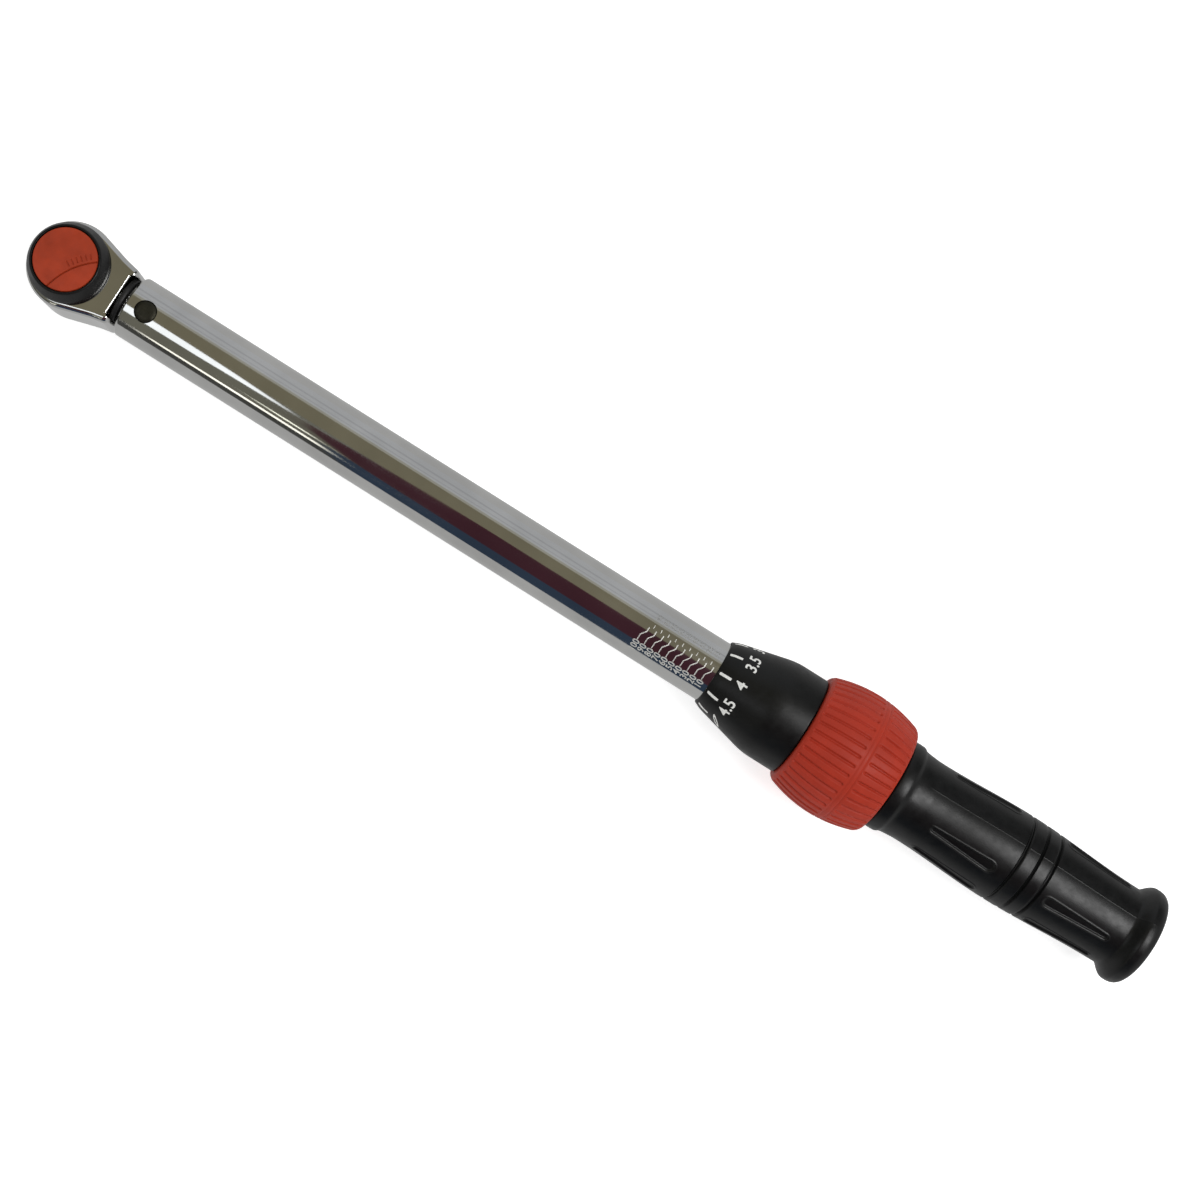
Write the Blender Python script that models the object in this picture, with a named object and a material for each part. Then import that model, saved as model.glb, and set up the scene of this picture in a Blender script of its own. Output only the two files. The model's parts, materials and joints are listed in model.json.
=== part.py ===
"""A click-type torque wrench with a 3/8 inch square drive, as separate pieces on their joints.

The frame: +X runs from the square drive's axis along the tube to the end of the grip, +Z is up through
the direction dial, and the origin is the middle of the square drive's end face. Every dimension below
is measured from the drive's axis along X, and from the tube's own axis up or outward.
"""

import math

import bmesh
import bpy
from mathutils import Matrix, Vector

MM = 0.001
GAP = 0.3 * MM  # between pieces that would touch

# Head
HEAD_RADIUS = 14.1 * MM
HEAD_CENTRE_X = 0.6 * MM  # of the head's round front
HEAD_HALF_HEIGHT = 9.8 * MM
HEAD_EDGE = 1.9 * MM  # rounding of the head's upper and lower edges
HEAD_REAR_X = 19.8 * MM
HEAD_REAR_HALF_WIDTH = 10.0 * MM
HEAD_REAR_CORNER = 2.1 * MM
HEAD_WAIST = (14.6 * MM, 10.6 * MM)  # where the tapering sides bend to run straight back
HEAD_TAPER = math.radians(17)

# Square drive and its ratchet gear
SQUARE = 9.53 * MM
SQUARE_LENGTH = 11.4 * MM
SQUARE_CHAMFER = 0.8 * MM
DRIVE_COLLAR = 0.8 * MM  # round shoulder standing out of the head above the square
GEAR_TEETH = 36
GEAR_TIP = 8.6 * MM
GEAR_ROOT = 7.8 * MM
GEAR_LOW = -6.8 * MM
GEAR_HIGH = 1.2 * MM
JOURNAL_RADIUS = 6.9 * MM
TOP_JOURNAL_RADIUS = 5.0 * MM
TOP_JOURNAL_HIGH = 4.4 * MM
BALL_RADIUS = 1.5 * MM  # the ball that holds a socket on the square
BALL_PROUD = 0.6 * MM
BALL_HEIGHT_ON_SQUARE = 5.6 * MM  # above the square's end face

# Pawl
PAWL_PIN_X = 11.9 * MM
PAWL_PIN_RADIUS = 1.25 * MM
PAWL_LOW = -4.5 * MM
PAWL_ROCK = math.radians(9)  # each way from the middle
POCKET_REAR_X = 14.8 * MM
POCKET_HALF_WIDTH = 8.7 * MM

# Cover plate and direction dial
COUNTERBORE_RADIUS = 11.4 * MM
COUNTERBORE_FLOOR = 1.5 * MM
COVER_THICK = 2.5 * MM
DIAL_RADIUS = 12.8 * MM
DIAL_TOP_RADIUS = 11.1 * MM
DIAL_FOOT = 1.4 * MM  # height of the ring's upright side, below its slope
DIAL_HEIGHT = 6.0 * MM  # of the ring that stands on the head
DIAL_HUB_RADIUS = 9.0 * MM
CAP_RADIUS = 10.0 * MM
CAP_THICK = 1.8 * MM
DETENT_BALL_RADIUS = 1.2 * MM
SCREW_HEAD_RADIUS = 3.2 * MM
SCREW_HEAD_HEIGHT = 2.3 * MM
SCREW_RADIUS = 1.5 * MM

# Tube and the lever inside it
TUBE_RADIUS = 10.3 * MM
TUBE_BORE = 8.8 * MM
TUBE_FRONT_X = 20.8 * MM
TUBE_REAR_X = 340 * MM
TUBE_LIP = 1.2 * MM  # rounding of the tube's front edge
PIVOT_X = 28 * MM
PIVOT_PIN_RADIUS = 3.5 * MM
NECK_RADIUS = 7.2 * MM
BOSS_RADIUS = 8.2 * MM
LEVER_RADIUS = 6.2 * MM
LEVER_REAR_X = 85.2 * MM
SEAL_SLOT_X = 17.2 * MM
SEAL_SLOT_HALF_WIDTH = 7.8 * MM
SEAL_RADIUS = 9.3 * MM

# Tilting block and plunger
BLOCK_HALF_WIDTH = 2.7 * MM
BLOCK_HALF_HEIGHT = 4.0 * MM
BLOCK_FRONT_X = 87 * MM  # centre of its round front end
BLOCK_PIVOT_X = 96 * MM  # centre of its round rear end
PLUNGER_FRONT_X = 94.6 * MM
PLUNGER_REAR_X = 108 * MM
PLUNGER_RADIUS = 8.5 * MM

# Main spring and adjuster
SPRING_MEAN_RADIUS = 6.7 * MM
SPRING_WIRE = 1.4 * MM  # radius of the wire
SPRING_TURNS = 15
SEAT_X = 236 * MM
SEAT_REAR_X = 245 * MM
SEAT_POCKET = 4 * MM  # depth of the thrust ball's pocket
THRUST_BALL_RADIUS = 2.5 * MM
NUT_X = 312 * MM
NUT_LENGTH = 18 * MM
NUT_SCREW_RADIUS = 1.8 * MM
NUT_SCREW_INNER_END = 6.3 * MM  # from the axis, clear of the thread
THREAD_RADIUS = 5.0 * MM
THREAD_LEAD = 1.3 * MM  # travel for one turn of the grip
SPINDLE_RADIUS = 4.0 * MM
THREAD_FRONT_X = 309 * MM
THREAD_REAR_X = 358 * MM

# Thimble and handle core
THIMBLE_FRONT_X = 236.8 * MM
THIMBLE_CONE_X = 257.3 * MM
THIMBLE_REAR_X = 268.8 * MM
THIMBLE_LIP_RADIUS = 11.0 * MM
THIMBLE_CONE_RADIUS = 12.1 * MM
THIMBLE_RADIUS = 16.6 * MM
CORE_FRONT_X = 258 * MM
CORE_REAR_X = 388.5 * MM
CORE_RADIUS = 12.6 * MM
CORE_BORE = 10.6 * MM
CORE_WALL_X = (374 * MM, 381 * MM)  # the web that the spindle is bolted to

# Lock collar
COLLAR_FRONT_X = 269.1 * MM
COLLAR_REAR_X = 300.8 * MM
COLLAR_RADIUS = 21.5 * MM
COLLAR_END_RADIUS = 18.5 * MM
COLLAR_EDGE = 0.8 * MM
COLLAR_BORE = 16.0 * MM
COLLAR_WALL_X = 272 * MM
LOCK_BALL_X = 279.5 * MM
LOCK_BALLS = 3
LOCK_RING_X = (272.3 * MM, 284 * MM)
LOCK_RING_BORES = (15.1 * MM, 14.0 * MM)  # wide at the front, narrow over the balls
STOP_RING_X = 294.3 * MM
STOP_RING_THICK = 1.5 * MM

# Grip
GRIP_FRONT_X = 301.2 * MM
GRIP_REAR_X = 394.5 * MM
GRIP_LIP = (305.5 * MM, 15.3 * MM)
GRIP_WAIST = (313 * MM, 14.0 * MM)
GRIP_BELLY = (345 * MM, 15.1 * MM)
GRIP_NECK = (385.6 * MM, 13.4 * MM)
GRIP_FLARE = (390.6 * MM, 16.45 * MM)
END_CAP_FRONT_X = 388.8 * MM
END_WASHER_THICK = 1.5 * MM
END_BOLT_RADIUS = 2.5 * MM

AXIS_HEIGHT = HEAD_HALF_HEIGHT + DRIVE_COLLAR + SQUARE_LENGTH  # of the tube above the origin

ROUND = 32  # sides of the large round pieces
SMALL_ROUND = 24
TINY_ROUND = 10

FINISHES = {  # colour, roughness, metallic
    "chrome": ((0.62, 0.62, 0.60, 1), 0.08, 1.0),
    "steel": ((0.42, 0.42, 0.41, 1), 0.35, 1.0),
    "blackened steel": ((0.035, 0.035, 0.03, 1), 0.4, 0.7),
    "spring steel": ((0.22, 0.22, 0.23, 1), 0.35, 1.0),
    "brass": ((0.55, 0.38, 0.14, 1), 0.35, 1.0),
    "black plastic": ((0.013, 0.014, 0.014, 1), 0.45, 0.0),
    "red plastic": ((0.39, 0.04, 0.02, 1), 0.5, 0.0),
    "black rubber": ((0.012, 0.012, 0.012, 1), 0.7, 0.0),
}


def clear_scene():
    for thing in list(bpy.data.objects):
        bpy.data.objects.remove(thing, do_unlink=True)


# ---------------------------------------------------------------- making and placing pieces


PLACES = {}  # each joint's empty, and where it is along the tool


def joint_frame(name, place, parent=None):
    """An empty on a joint's axis, at a place given along the tool."""
    frame = bpy.data.objects.new(name, None)
    bpy.context.collection.objects.link(frame)
    frame.empty_display_size = 10 * MM
    PLACES[name] = Vector(place)
    if parent:
        frame.parent = parent
        frame.location = PLACES[name] - PLACES[parent.name]
    return frame


def finished(mesh, name, frame, finish):
    """Make the object of a mesh that is drawn along the tool, and hang it on its joint's empty."""
    mesh.name = name
    mesh.transform(Matrix.Translation(-PLACES[frame.name]))
    mesh.shade_smooth()
    mesh.set_sharp_from_angle(angle=math.radians(32))
    piece = bpy.data.objects.new(name, mesh)
    bpy.context.collection.objects.link(piece)
    piece.parent = frame
    if finish:
        piece.data.materials.append(material(name, finish))
    return piece


def material(name, finish):
    colour, roughness, metallic = FINISHES[finish]
    made = bpy.data.materials.new(name + " " + finish)
    made.use_nodes = True
    shader = made.node_tree.nodes["Principled BSDF"]
    shader.inputs["Base Color"].default_value = colour
    shader.inputs["Roughness"].default_value = roughness
    shader.inputs["Metallic"].default_value = metallic
    made.diffuse_color = colour
    return made


def as_mesh(shape):
    """Turn a closed bmesh into a mesh whose faces point out."""
    bmesh.ops.recalc_face_normals(shape, faces=shape.faces)
    mesh = bpy.data.meshes.new("mesh")
    shape.to_mesh(mesh)
    shape.free()
    return mesh


def turned(outline, sides=ROUND, axis="X"):
    """Turn an outline of (along, radius) points; one that starts off the axis closes on itself."""
    shape = bmesh.new()
    if axis == "X":
        points = [(along, 0, radius) for along, radius in outline]
    else:
        points = [(radius, 0, along) for along, radius in outline]
    corners = [shape.verts.new(point) for point in points]
    edges = [shape.edges.new(pair) for pair in zip(corners, corners[1:])]
    if outline[0][1] > 0:
        edges.append(shape.edges.new((corners[-1], corners[0])))
    direction = (1, 0, 0) if axis == "X" else (0, 0, 1)
    bmesh.ops.spin(
        shape, geom=corners + edges, cent=(0, 0, 0), axis=direction, angle=2 * math.pi,
        steps=sides, use_merge=True,
    )
    bmesh.ops.remove_doubles(shape, verts=shape.verts, dist=0.001 * MM)
    return as_mesh(shape)


def rod(low, high, radius, sides=TINY_ROUND):
    """A round bar along Z."""
    return turned([(low, 0), (low, radius), (high, radius), (high, 0)], sides, "Z")


def extruded(outline, low, high):
    """Raise an outline of (x, y) points from one height to another."""
    shape = bmesh.new()
    base = shape.faces.new([shape.verts.new((x, y, low)) for x, y in outline])
    raised = bmesh.ops.extrude_face_region(shape, geom=[base])["geom"]
    corners = [item for item in raised if isinstance(item, bmesh.types.BMVert)]
    bmesh.ops.translate(shape, verts=corners, vec=(0, 0, high - low))
    return as_mesh(shape)


def block(low, high):
    """A box between two opposite corners."""
    outline = [(low[0], low[1]), (high[0], low[1]), (high[0], high[1]), (low[0], high[1])]
    return extruded(outline, low[2], high[2])


def ball(radius, centre, sides=TINY_ROUND):
    shape = bmesh.new()
    bmesh.ops.create_uvsphere(shape, u_segments=sides, v_segments=sides * 3 // 5, radius=radius)
    bmesh.ops.translate(shape, verts=shape.verts, vec=centre)
    return as_mesh(shape)


def arc(centre, radius, start, end, steps):
    """Points on an arc, from one angle in degrees to another."""
    angles = [math.radians(start + (end - start) * i / steps) for i in range(steps + 1)]
    return [(centre[0] + radius * math.cos(a), centre[1] + radius * math.sin(a)) for a in angles]


def laid_along_x(mesh, x=0.0):
    """Turn a mesh made around Z so that it runs along X."""
    mesh.transform(Matrix.Translation((x, 0, 0)) @ Matrix.Rotation(math.pi / 2, 4, "Y"))
    return mesh


def coil(start, end, mean_radius, wire_radius, turns, steps_per_turn=8, sides=5):
    """A compression spring along X whose first and last turns are closed."""
    shape = bmesh.new()
    closed_pitch = 2.15 * wire_radius
    low = start + wire_radius
    high = end - wire_radius
    open_pitch = (high - low - 2 * closed_pitch) / (turns - 2)
    rings = []
    for step in range(turns * steps_per_turn + 1):
        turn = step / steps_per_turn
        opened = min(max(turn - 1, 0), turns - 2)
        x = low + closed_pitch * (turn - opened) + open_pitch * opened
        angle = 2 * math.pi * turn
        outward = Vector((0, math.cos(angle), math.sin(angle)))
        centre = Vector((x, 0, 0)) + outward * mean_radius
        ring = []
        for side in range(sides):
            around = 2 * math.pi * side / sides
            offset = outward * math.cos(around) + Vector((1, 0, 0)) * math.sin(around)
            ring.append(shape.verts.new(centre + offset * wire_radius))
        rings.append(ring)
    for one, other in zip(rings, rings[1:]):
        for side in range(sides):
            after = (side + 1) % sides
            shape.faces.new((one[side], one[after], other[after], other[side]))
    shape.faces.new(rings[0])
    shape.faces.new(rings[-1])
    return as_mesh(shape)


def open_ring(inner, outer, low, high, opening=30):
    """A snap ring with its opening at +X."""
    half = opening / 2
    outline = arc((0, 0), outer, half, 360 - half, 20)
    outline += arc((0, 0), inner, 360 - half, half, 20)
    return extruded(outline, low, high)


def combine(piece, mesh, operation):
    """Cut a mesh out of a piece, or join it on, with a hidden helper that moves with it."""
    helper = finished(mesh, piece.name + "_helper", piece.parent, None)
    helper.hide_render = True
    helper.display_type = "WIRE"
    modifier = piece.modifiers.new(operation.lower(), "BOOLEAN")
    modifier.operation = operation
    modifier.solver = "EXACT"
    modifier.object = helper


def cut(piece, mesh):
    combine(piece, mesh, "DIFFERENCE")


def join(piece, mesh):
    combine(piece, mesh, "UNION")


# ---------------------------------------------------------------- head


def head_outline():
    """The head from above: a round front, tapering sides, and a square-shouldered rear."""
    front = 90 - math.degrees(HEAD_TAPER)
    half = arc((HEAD_CENTRE_X, 0), HEAD_RADIUS, 180, front, 11)
    half.append(HEAD_WAIST)
    straight = 1.2 * MM
    half.append((HEAD_REAR_X - HEAD_REAR_CORNER - straight, HEAD_REAR_HALF_WIDTH + 0.1 * MM))
    corner = (HEAD_REAR_X - HEAD_REAR_CORNER, HEAD_REAR_HALF_WIDTH - HEAD_REAR_CORNER)
    half += arc(corner, HEAD_REAR_CORNER, 90, 0, 3)
    return half + [(x, -y) for x, y in reversed(half[1:])]


def rounded_plate(outline, low, high, edge):
    """Raise an outline and round its upper and lower rims."""
    mesh = extruded(outline, low, high)
    shape = bmesh.new()
    shape.from_mesh(mesh)
    middle = (low + high) / 2
    rims = [e for e in shape.edges if len({v.co.z > middle for v in e.verts}) == 1]
    bmesh.ops.bevel(
        shape, geom=rims, offset=edge, segments=2, profile=0.5, affect="EDGES", clamp_overlap=False,
    )
    return as_mesh(shape)


def make_head(frame):
    """The forged head, its neck and the lever inside the tube, in one piece."""
    head = finished(
        rounded_plate(head_outline(), -HEAD_HALF_HEIGHT, HEAD_HALF_HEIGHT, HEAD_EDGE),
        "ratchet_head", frame, "chrome",
    )
    far = 2 * HEAD_HALF_HEIGHT
    corner = 0.4 * MM
    half = [
        (HEAD_REAR_X + far, SEAL_SLOT_HALF_WIDTH), (SEAL_SLOT_X + corner, SEAL_SLOT_HALF_WIDTH),
        (SEAL_SLOT_X, SEAL_SLOT_HALF_WIDTH - corner),
    ]
    slot = half + [(x, -y) for x, y in reversed(half)]
    cut(head, extruded(slot, -far, far))
    boss_run = 4.5 * MM
    slope = 2 * MM
    lever = [
        (SEAL_SLOT_X - 2 * MM, 0), (SEAL_SLOT_X - 2 * MM, NECK_RADIUS),
        (PIVOT_X - boss_run - slope, NECK_RADIUS), (PIVOT_X - boss_run, BOSS_RADIUS),
        (PIVOT_X + boss_run, BOSS_RADIUS), (PIVOT_X + boss_run + 1.5 * slope, LEVER_RADIUS),
        (LEVER_REAR_X, LEVER_RADIUS), (LEVER_REAR_X, 0),
    ]
    join(head, turned(lever, SMALL_ROUND))
    cut(head, turned(gear_bore_outline(far), ROUND, "Z"))
    overlap = 0.5 * MM
    pocket_low = (PAWL_PIN_X / 2, -POCKET_HALF_WIDTH, PAWL_LOW - GAP)
    pocket_high = (POCKET_REAR_X, POCKET_HALF_WIDTH, COUNTERBORE_FLOOR + overlap)
    cut(head, block(pocket_low, pocket_high))
    pin_hole = turned(pawl_pin_outline(GAP), TINY_ROUND, "Z")
    pin_hole.transform(Matrix.Translation((PAWL_PIN_X, 0, 0)))
    cut(head, pin_hole)
    pivot_hole = rod(-far, far, PIVOT_PIN_RADIUS + GAP, SMALL_ROUND)
    pivot_hole.transform(Matrix.Translation((PIVOT_X, 0, 0)))
    cut(head, pivot_hole)
    socket_depth = 1.4 * MM
    socket_half = BLOCK_HALF_WIDTH + overlap
    socket_low = (LEVER_REAR_X - socket_depth, -socket_half, -BLOCK_HALF_HEIGHT - GAP)
    cut(head, block(socket_low, (LEVER_REAR_X + far, socket_half, BLOCK_HALF_HEIGHT + GAP)))


def gear_bore_outline(far):
    """The head's bore from its top to its bottom: for the cover plate, the gear and the journal."""
    gear_bore = GEAR_TIP + 0.4 * MM
    journal_bore = JOURNAL_RADIUS + GAP
    gear_floor = GEAR_LOW - GAP
    return [
        (far, 0), (far, COUNTERBORE_RADIUS), (COUNTERBORE_FLOOR, COUNTERBORE_RADIUS),
        (COUNTERBORE_FLOOR, gear_bore), (gear_floor, gear_bore), (gear_floor, journal_bore),
        (-far, journal_bore), (-far, 0),
    ]


def make_dust_seal(frame):
    """The rubber ring between the head and the mouth of the tube, with flat sides."""
    front = SEAL_SLOT_X + GAP
    rear = TUBE_FRONT_X - 0.5 * MM
    rounding = 0.7 * MM
    bore = NECK_RADIUS + GAP
    mesh = turned([
        (front, bore), (front, SEAL_RADIUS), (rear - rounding, SEAL_RADIUS),
        (rear, SEAL_RADIUS - rounding), (rear, bore),
    ])
    side = SEAL_SLOT_HALF_WIDTH - GAP
    for corner in mesh.vertices:
        corner.co.y = max(-side, min(side, corner.co.y))
    finished(mesh, "dust_seal", frame, "black rubber")


def make_cover_plate(frame):
    """The disc that holds the gear and the pawl down."""
    low = COUNTERBORE_FLOOR + GAP
    high = low + COVER_THICK
    bore = TOP_JOURNAL_RADIUS + GAP
    rim = COUNTERBORE_RADIUS - GAP
    mesh = turned([(low, bore), (low, rim), (high, rim), (high, bore)], ROUND, "Z")
    finished(mesh, "cover_plate", frame, "steel")


def make_cover_snap_ring(frame):
    low = COUNTERBORE_FLOOR + COVER_THICK + 2 * GAP
    thick = 1 * MM
    mesh = open_ring(DIAL_HUB_RADIUS + 2 * GAP, COUNTERBORE_RADIUS - GAP, low, low + thick)
    finished(mesh, "cover_snap_ring", frame, "spring steel")


def pawl_pin_outline(clearance):
    """The pin's outline, or with a clearance that of the blind hole it stands in."""
    radius = PAWL_PIN_RADIUS + clearance
    low = GEAR_LOW - clearance
    high = COUNTERBORE_FLOOR - GAP / 2
    return [(low, 0), (low, radius), (high, radius), (high, 0)]


def make_pawl_pin(frame):
    mesh = turned(pawl_pin_outline(0), TINY_ROUND, "Z")
    mesh.transform(Matrix.Translation((PAWL_PIN_X, 0, 0)))
    finished(mesh, "pawl_pin", frame, "steel")


# ---------------------------------------------------------------- square drive, pawl and dial


def gear_radius(angle):
    """Height of the gear's surface at an angle from the middle of a tooth space."""
    phase = (angle * GEAR_TEETH / (2 * math.pi)) % 1
    rise = 1 - abs(2 * phase - 1)
    return GEAR_ROOT + (GEAR_TIP - GEAR_ROOT) * min(rise * 1.25, 1)


def on_gear(angle, clearance=0.0):
    radius = gear_radius(angle) + clearance
    return radius * math.cos(angle), radius * math.sin(angle)


def tooth_angles(first, last):
    """The corner angles of the teeth between two tooth numbers: foot, and both ends of the tip."""
    pitch = 2 * math.pi / GEAR_TEETH
    return [(tooth + part) * pitch for tooth in range(first, last) for part in (0, 0.4, 0.6)]


def make_drive_gear(frame):
    """The ratchet gear, its two journals and the 3/8 inch square, in one piece."""
    teeth = [on_gear(angle) for angle in tooth_angles(0, GEAR_TEETH)]
    gear = finished(extruded(teeth, GEAR_LOW, GEAR_HIGH), "drive_gear", frame, "chrome")
    overlap = 1 * MM
    collar_low = -HEAD_HALF_HEIGHT - DRIVE_COLLAR
    shaft = [
        (collar_low, 0), (collar_low, JOURNAL_RADIUS), (GEAR_LOW + overlap, JOURNAL_RADIUS),
        (GEAR_LOW + overlap, TOP_JOURNAL_RADIUS), (TOP_JOURNAL_HIGH, TOP_JOURNAL_RADIUS),
        (TOP_JOURNAL_HIGH, 0),
    ]
    join(gear, turned(shaft, SMALL_ROUND, "Z"))
    join(gear, square_drive(collar_low + overlap))
    ball_height = BALL_HEIGHT_ON_SQUARE - AXIS_HEIGHT
    ball_bore = turned([
        (-SQUARE, 0), (-SQUARE, BALL_RADIUS + GAP), (SQUARE / 8, BALL_RADIUS + GAP), (SQUARE / 8, 0),
    ], TINY_ROUND)
    ball_bore.transform(Matrix.Translation((0, 0, ball_height)))
    cut(gear, ball_bore)
    screw_bore = SCREW_RADIUS + GAP
    screw_floor = -SCREW_RADIUS * 2
    cut(gear, rod(screw_floor, 2 * TOP_JOURNAL_HIGH, screw_bore))


def square_drive(high):
    """The square with broken corners and a chamfered end."""
    half = SQUARE / 2
    corner = 0.5 * MM
    outline = []
    for quarter in range(4):
        turn = Matrix.Rotation(quarter * math.pi / 2, 2)
        for point in (Vector((half, half - corner)), Vector((half - corner, half))):
            outline.append(tuple(turn @ point))
    mesh = extruded(outline, -AXIS_HEIGHT, high)
    shape = bmesh.new()
    shape.from_mesh(mesh)
    end_rim = [e for e in shape.edges if all(v.co.z < -AXIS_HEIGHT + 0.01 * MM for v in e.verts)]
    bmesh.ops.bevel(shape, geom=end_rim, offset=SQUARE_CHAMFER, segments=1, affect="EDGES")
    return as_mesh(shape)


def ball_centre():
    return Vector((-SQUARE / 2 + BALL_RADIUS - BALL_PROUD, 0, BALL_HEIGHT_ON_SQUARE - AXIS_HEIGHT))


def make_socket_ball(frame):
    finished(ball(BALL_RADIUS, ball_centre()), "socket_ball", frame, "steel")


def make_socket_ball_spring(frame):
    start = ball_centre().x + BALL_RADIUS + GAP / 3
    end = SQUARE / 8 - GAP / 3
    mesh = coil(start, end, mean_radius=1.05 * MM, wire_radius=0.22 * MM, turns=4, sides=4)
    mesh.transform(Matrix.Translation((0, 0, ball_centre().z)))
    finished(mesh, "socket_ball_spring", frame, "spring steel")


def rocked(point, angle):
    """A point turned about the pawl's pin."""
    pin = Vector((PAWL_PIN_X, 0))
    return tuple(pin + Matrix.Rotation(angle, 2) @ (Vector(point) - pin))


def make_pawl(frame):
    """A two-ended rocking pawl, drawn in its middle position, where neither end meets the gear."""
    clearance = 0.35 * MM
    engaged = [on_gear(angle, clearance) for angle in tooth_angles(2, 5)[1:-1]]
    half = arc((0, 0), GEAR_TIP + 0.65 * MM, 0, 14, 2)
    half += [rocked(point, -PAWL_ROCK) for point in engaged]
    half += [(8.6 * MM, 7.3 * MM), (10.2 * MM, 6.6 * MM), (13.2 * MM, 3.2 * MM), (14.2 * MM, 1.2 * MM)]
    outline = half[1:] + [(x, -y) for x, y in reversed(half[1:])]
    mesh = extruded(outline, PAWL_LOW, GEAR_HIGH)
    pawl = finished(mesh, "pawl", frame, "steel")
    far = 5 * MM
    bore = rod(-far, far, PAWL_PIN_RADIUS + 0.25 * MM)
    bore.transform(Matrix.Translation((PAWL_PIN_X, 0, 0)))
    cut(pawl, bore)


def dial_heights():
    """The dial's hub foot, flange foot, recess floor and top."""
    hub_low = COUNTERBORE_FLOOR + COVER_THICK + 2.4 * GAP
    flange_low = HEAD_HALF_HEIGHT + GAP
    top = flange_low + DIAL_HEIGHT
    return hub_low, flange_low, top - CAP_THICK - GAP, top


def detent_place():
    """The bore in the dial's hub for its click ball: distance from the axis, and its ceiling."""
    return 6.8 * MM, HEAD_HALF_HEIGHT


def make_dial_ring(frame):
    """The black direction dial: a hub inside the head and a thick ring on top of it."""
    hub_low, flange_low, floor, top = dial_heights()
    rounding = 0.5 * MM
    screw_bore = SCREW_RADIUS + GAP
    head_bore = SCREW_HEAD_RADIUS + GAP
    head_floor = floor - SCREW_HEAD_HEIGHT - GAP
    outline = [
        (hub_low, screw_bore), (hub_low, DIAL_HUB_RADIUS), (flange_low, DIAL_HUB_RADIUS),
        (flange_low, DIAL_RADIUS), (flange_low + DIAL_FOOT, DIAL_RADIUS),
        (top - rounding, DIAL_TOP_RADIUS), (top - 0.25 * rounding, DIAL_TOP_RADIUS - 0.3 * rounding),
        (top, DIAL_TOP_RADIUS - rounding), (top, CAP_RADIUS + GAP), (floor, CAP_RADIUS + GAP),
        (floor, head_bore), (head_floor, head_bore), (head_floor, screw_bore),
    ]
    dial = finished(turned(outline, ROUND, "Z"), "dial_ring", frame, "black plastic")
    away, ceiling = detent_place()
    bore = rod(0, ceiling, DETENT_BALL_RADIUS + GAP)
    bore.transform(Matrix.Translation((-away, 0, 0)))
    cut(dial, bore)


def make_dial_cap(frame):
    """The red disc in the top of the dial."""
    low = dial_heights()[2] + GAP
    high = low + CAP_THICK
    edge = 0.4 * MM
    crown = 0.25 * MM
    outline = [
        (low, 0), (low, CAP_RADIUS), (high - edge, CAP_RADIUS), (high, CAP_RADIUS - edge),
        (high + crown, 0),
    ]
    finished(turned(outline, ROUND, "Z"), "dial_cap", frame, "red plastic")


def make_dial_detent(frame):
    """The click ball under the dial, and the spring behind it."""
    away, ceiling = detent_place()
    low = COUNTERBORE_FLOOR + GAP + COVER_THICK + GAP / 2
    centre = low + DETENT_BALL_RADIUS
    finished(ball(DETENT_BALL_RADIUS, (-away, 0, centre)), "dial_detent_ball", frame, "steel")
    start = centre + DETENT_BALL_RADIUS + GAP / 3
    end = ceiling - GAP / 3
    spring = coil(start, end, mean_radius=0.95 * MM, wire_radius=0.22 * MM, turns=4, sides=4)
    spring.transform(Matrix.Translation((-away, 0, 0)) @ Matrix.Rotation(-math.pi / 2, 4, "Y"))
    finished(spring, "dial_detent_spring", frame, "spring steel")


def make_dial_screw(frame):
    """The screw that holds the dial on the drive's upper end, hidden by the cap."""
    floor = dial_heights()[2]
    head_low = floor - SCREW_HEAD_HEIGHT
    outline = [
        (0, 0), (0, SCREW_RADIUS), (head_low, SCREW_RADIUS), (head_low, SCREW_HEAD_RADIUS),
        (floor - 2 * GAP, SCREW_HEAD_RADIUS), (floor - 2 * GAP, 0),
    ]
    screw = finished(turned(outline, SMALL_ROUND, "Z"), "dial_screw", frame, "steel")
    slot_half_width = 0.4 * MM
    slot_floor = floor - 1.4 * MM
    reach = 2 * SCREW_HEAD_RADIUS
    cut(screw, block((-reach, -slot_half_width, slot_floor), (reach, slot_half_width, floor)))


# ---------------------------------------------------------------- tube and click mechanism


def make_tube(frame):
    """The chromed tube, with a rounded front edge, the pivot pin's holes and the nut's screw holes."""
    front = TUBE_FRONT_X
    rounded = [(front + TUBE_LIP - x, TUBE_RADIUS - TUBE_LIP + r)
               for r, x in arc((0, 0), TUBE_LIP, 0, 90, 2)]
    pin_reach = 8 * MM
    nut_reach = 2 * MM
    # The rings between the holes keep the faces around them short
    stations = [PIVOT_X + pin_reach, NUT_X - nut_reach, NUT_X + NUT_LENGTH + nut_reach, TUBE_REAR_X]
    outline = rounded + [(x, TUBE_RADIUS) for x in stations]
    outline += [(x, TUBE_BORE) for x in reversed(stations)] + [(front, TUBE_BORE)]
    tube = finished(turned(outline), "tube", frame, "chrome")
    far = 2 * TUBE_RADIUS
    pin_hole = rod(-far, far, PIVOT_PIN_RADIUS + 0.15 * MM, SMALL_ROUND)
    pin_hole.transform(Matrix.Translation((PIVOT_X, 0, 0)))
    cut(tube, pin_hole)
    cut(tube, nut_screw_shape(GAP, far))


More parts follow.
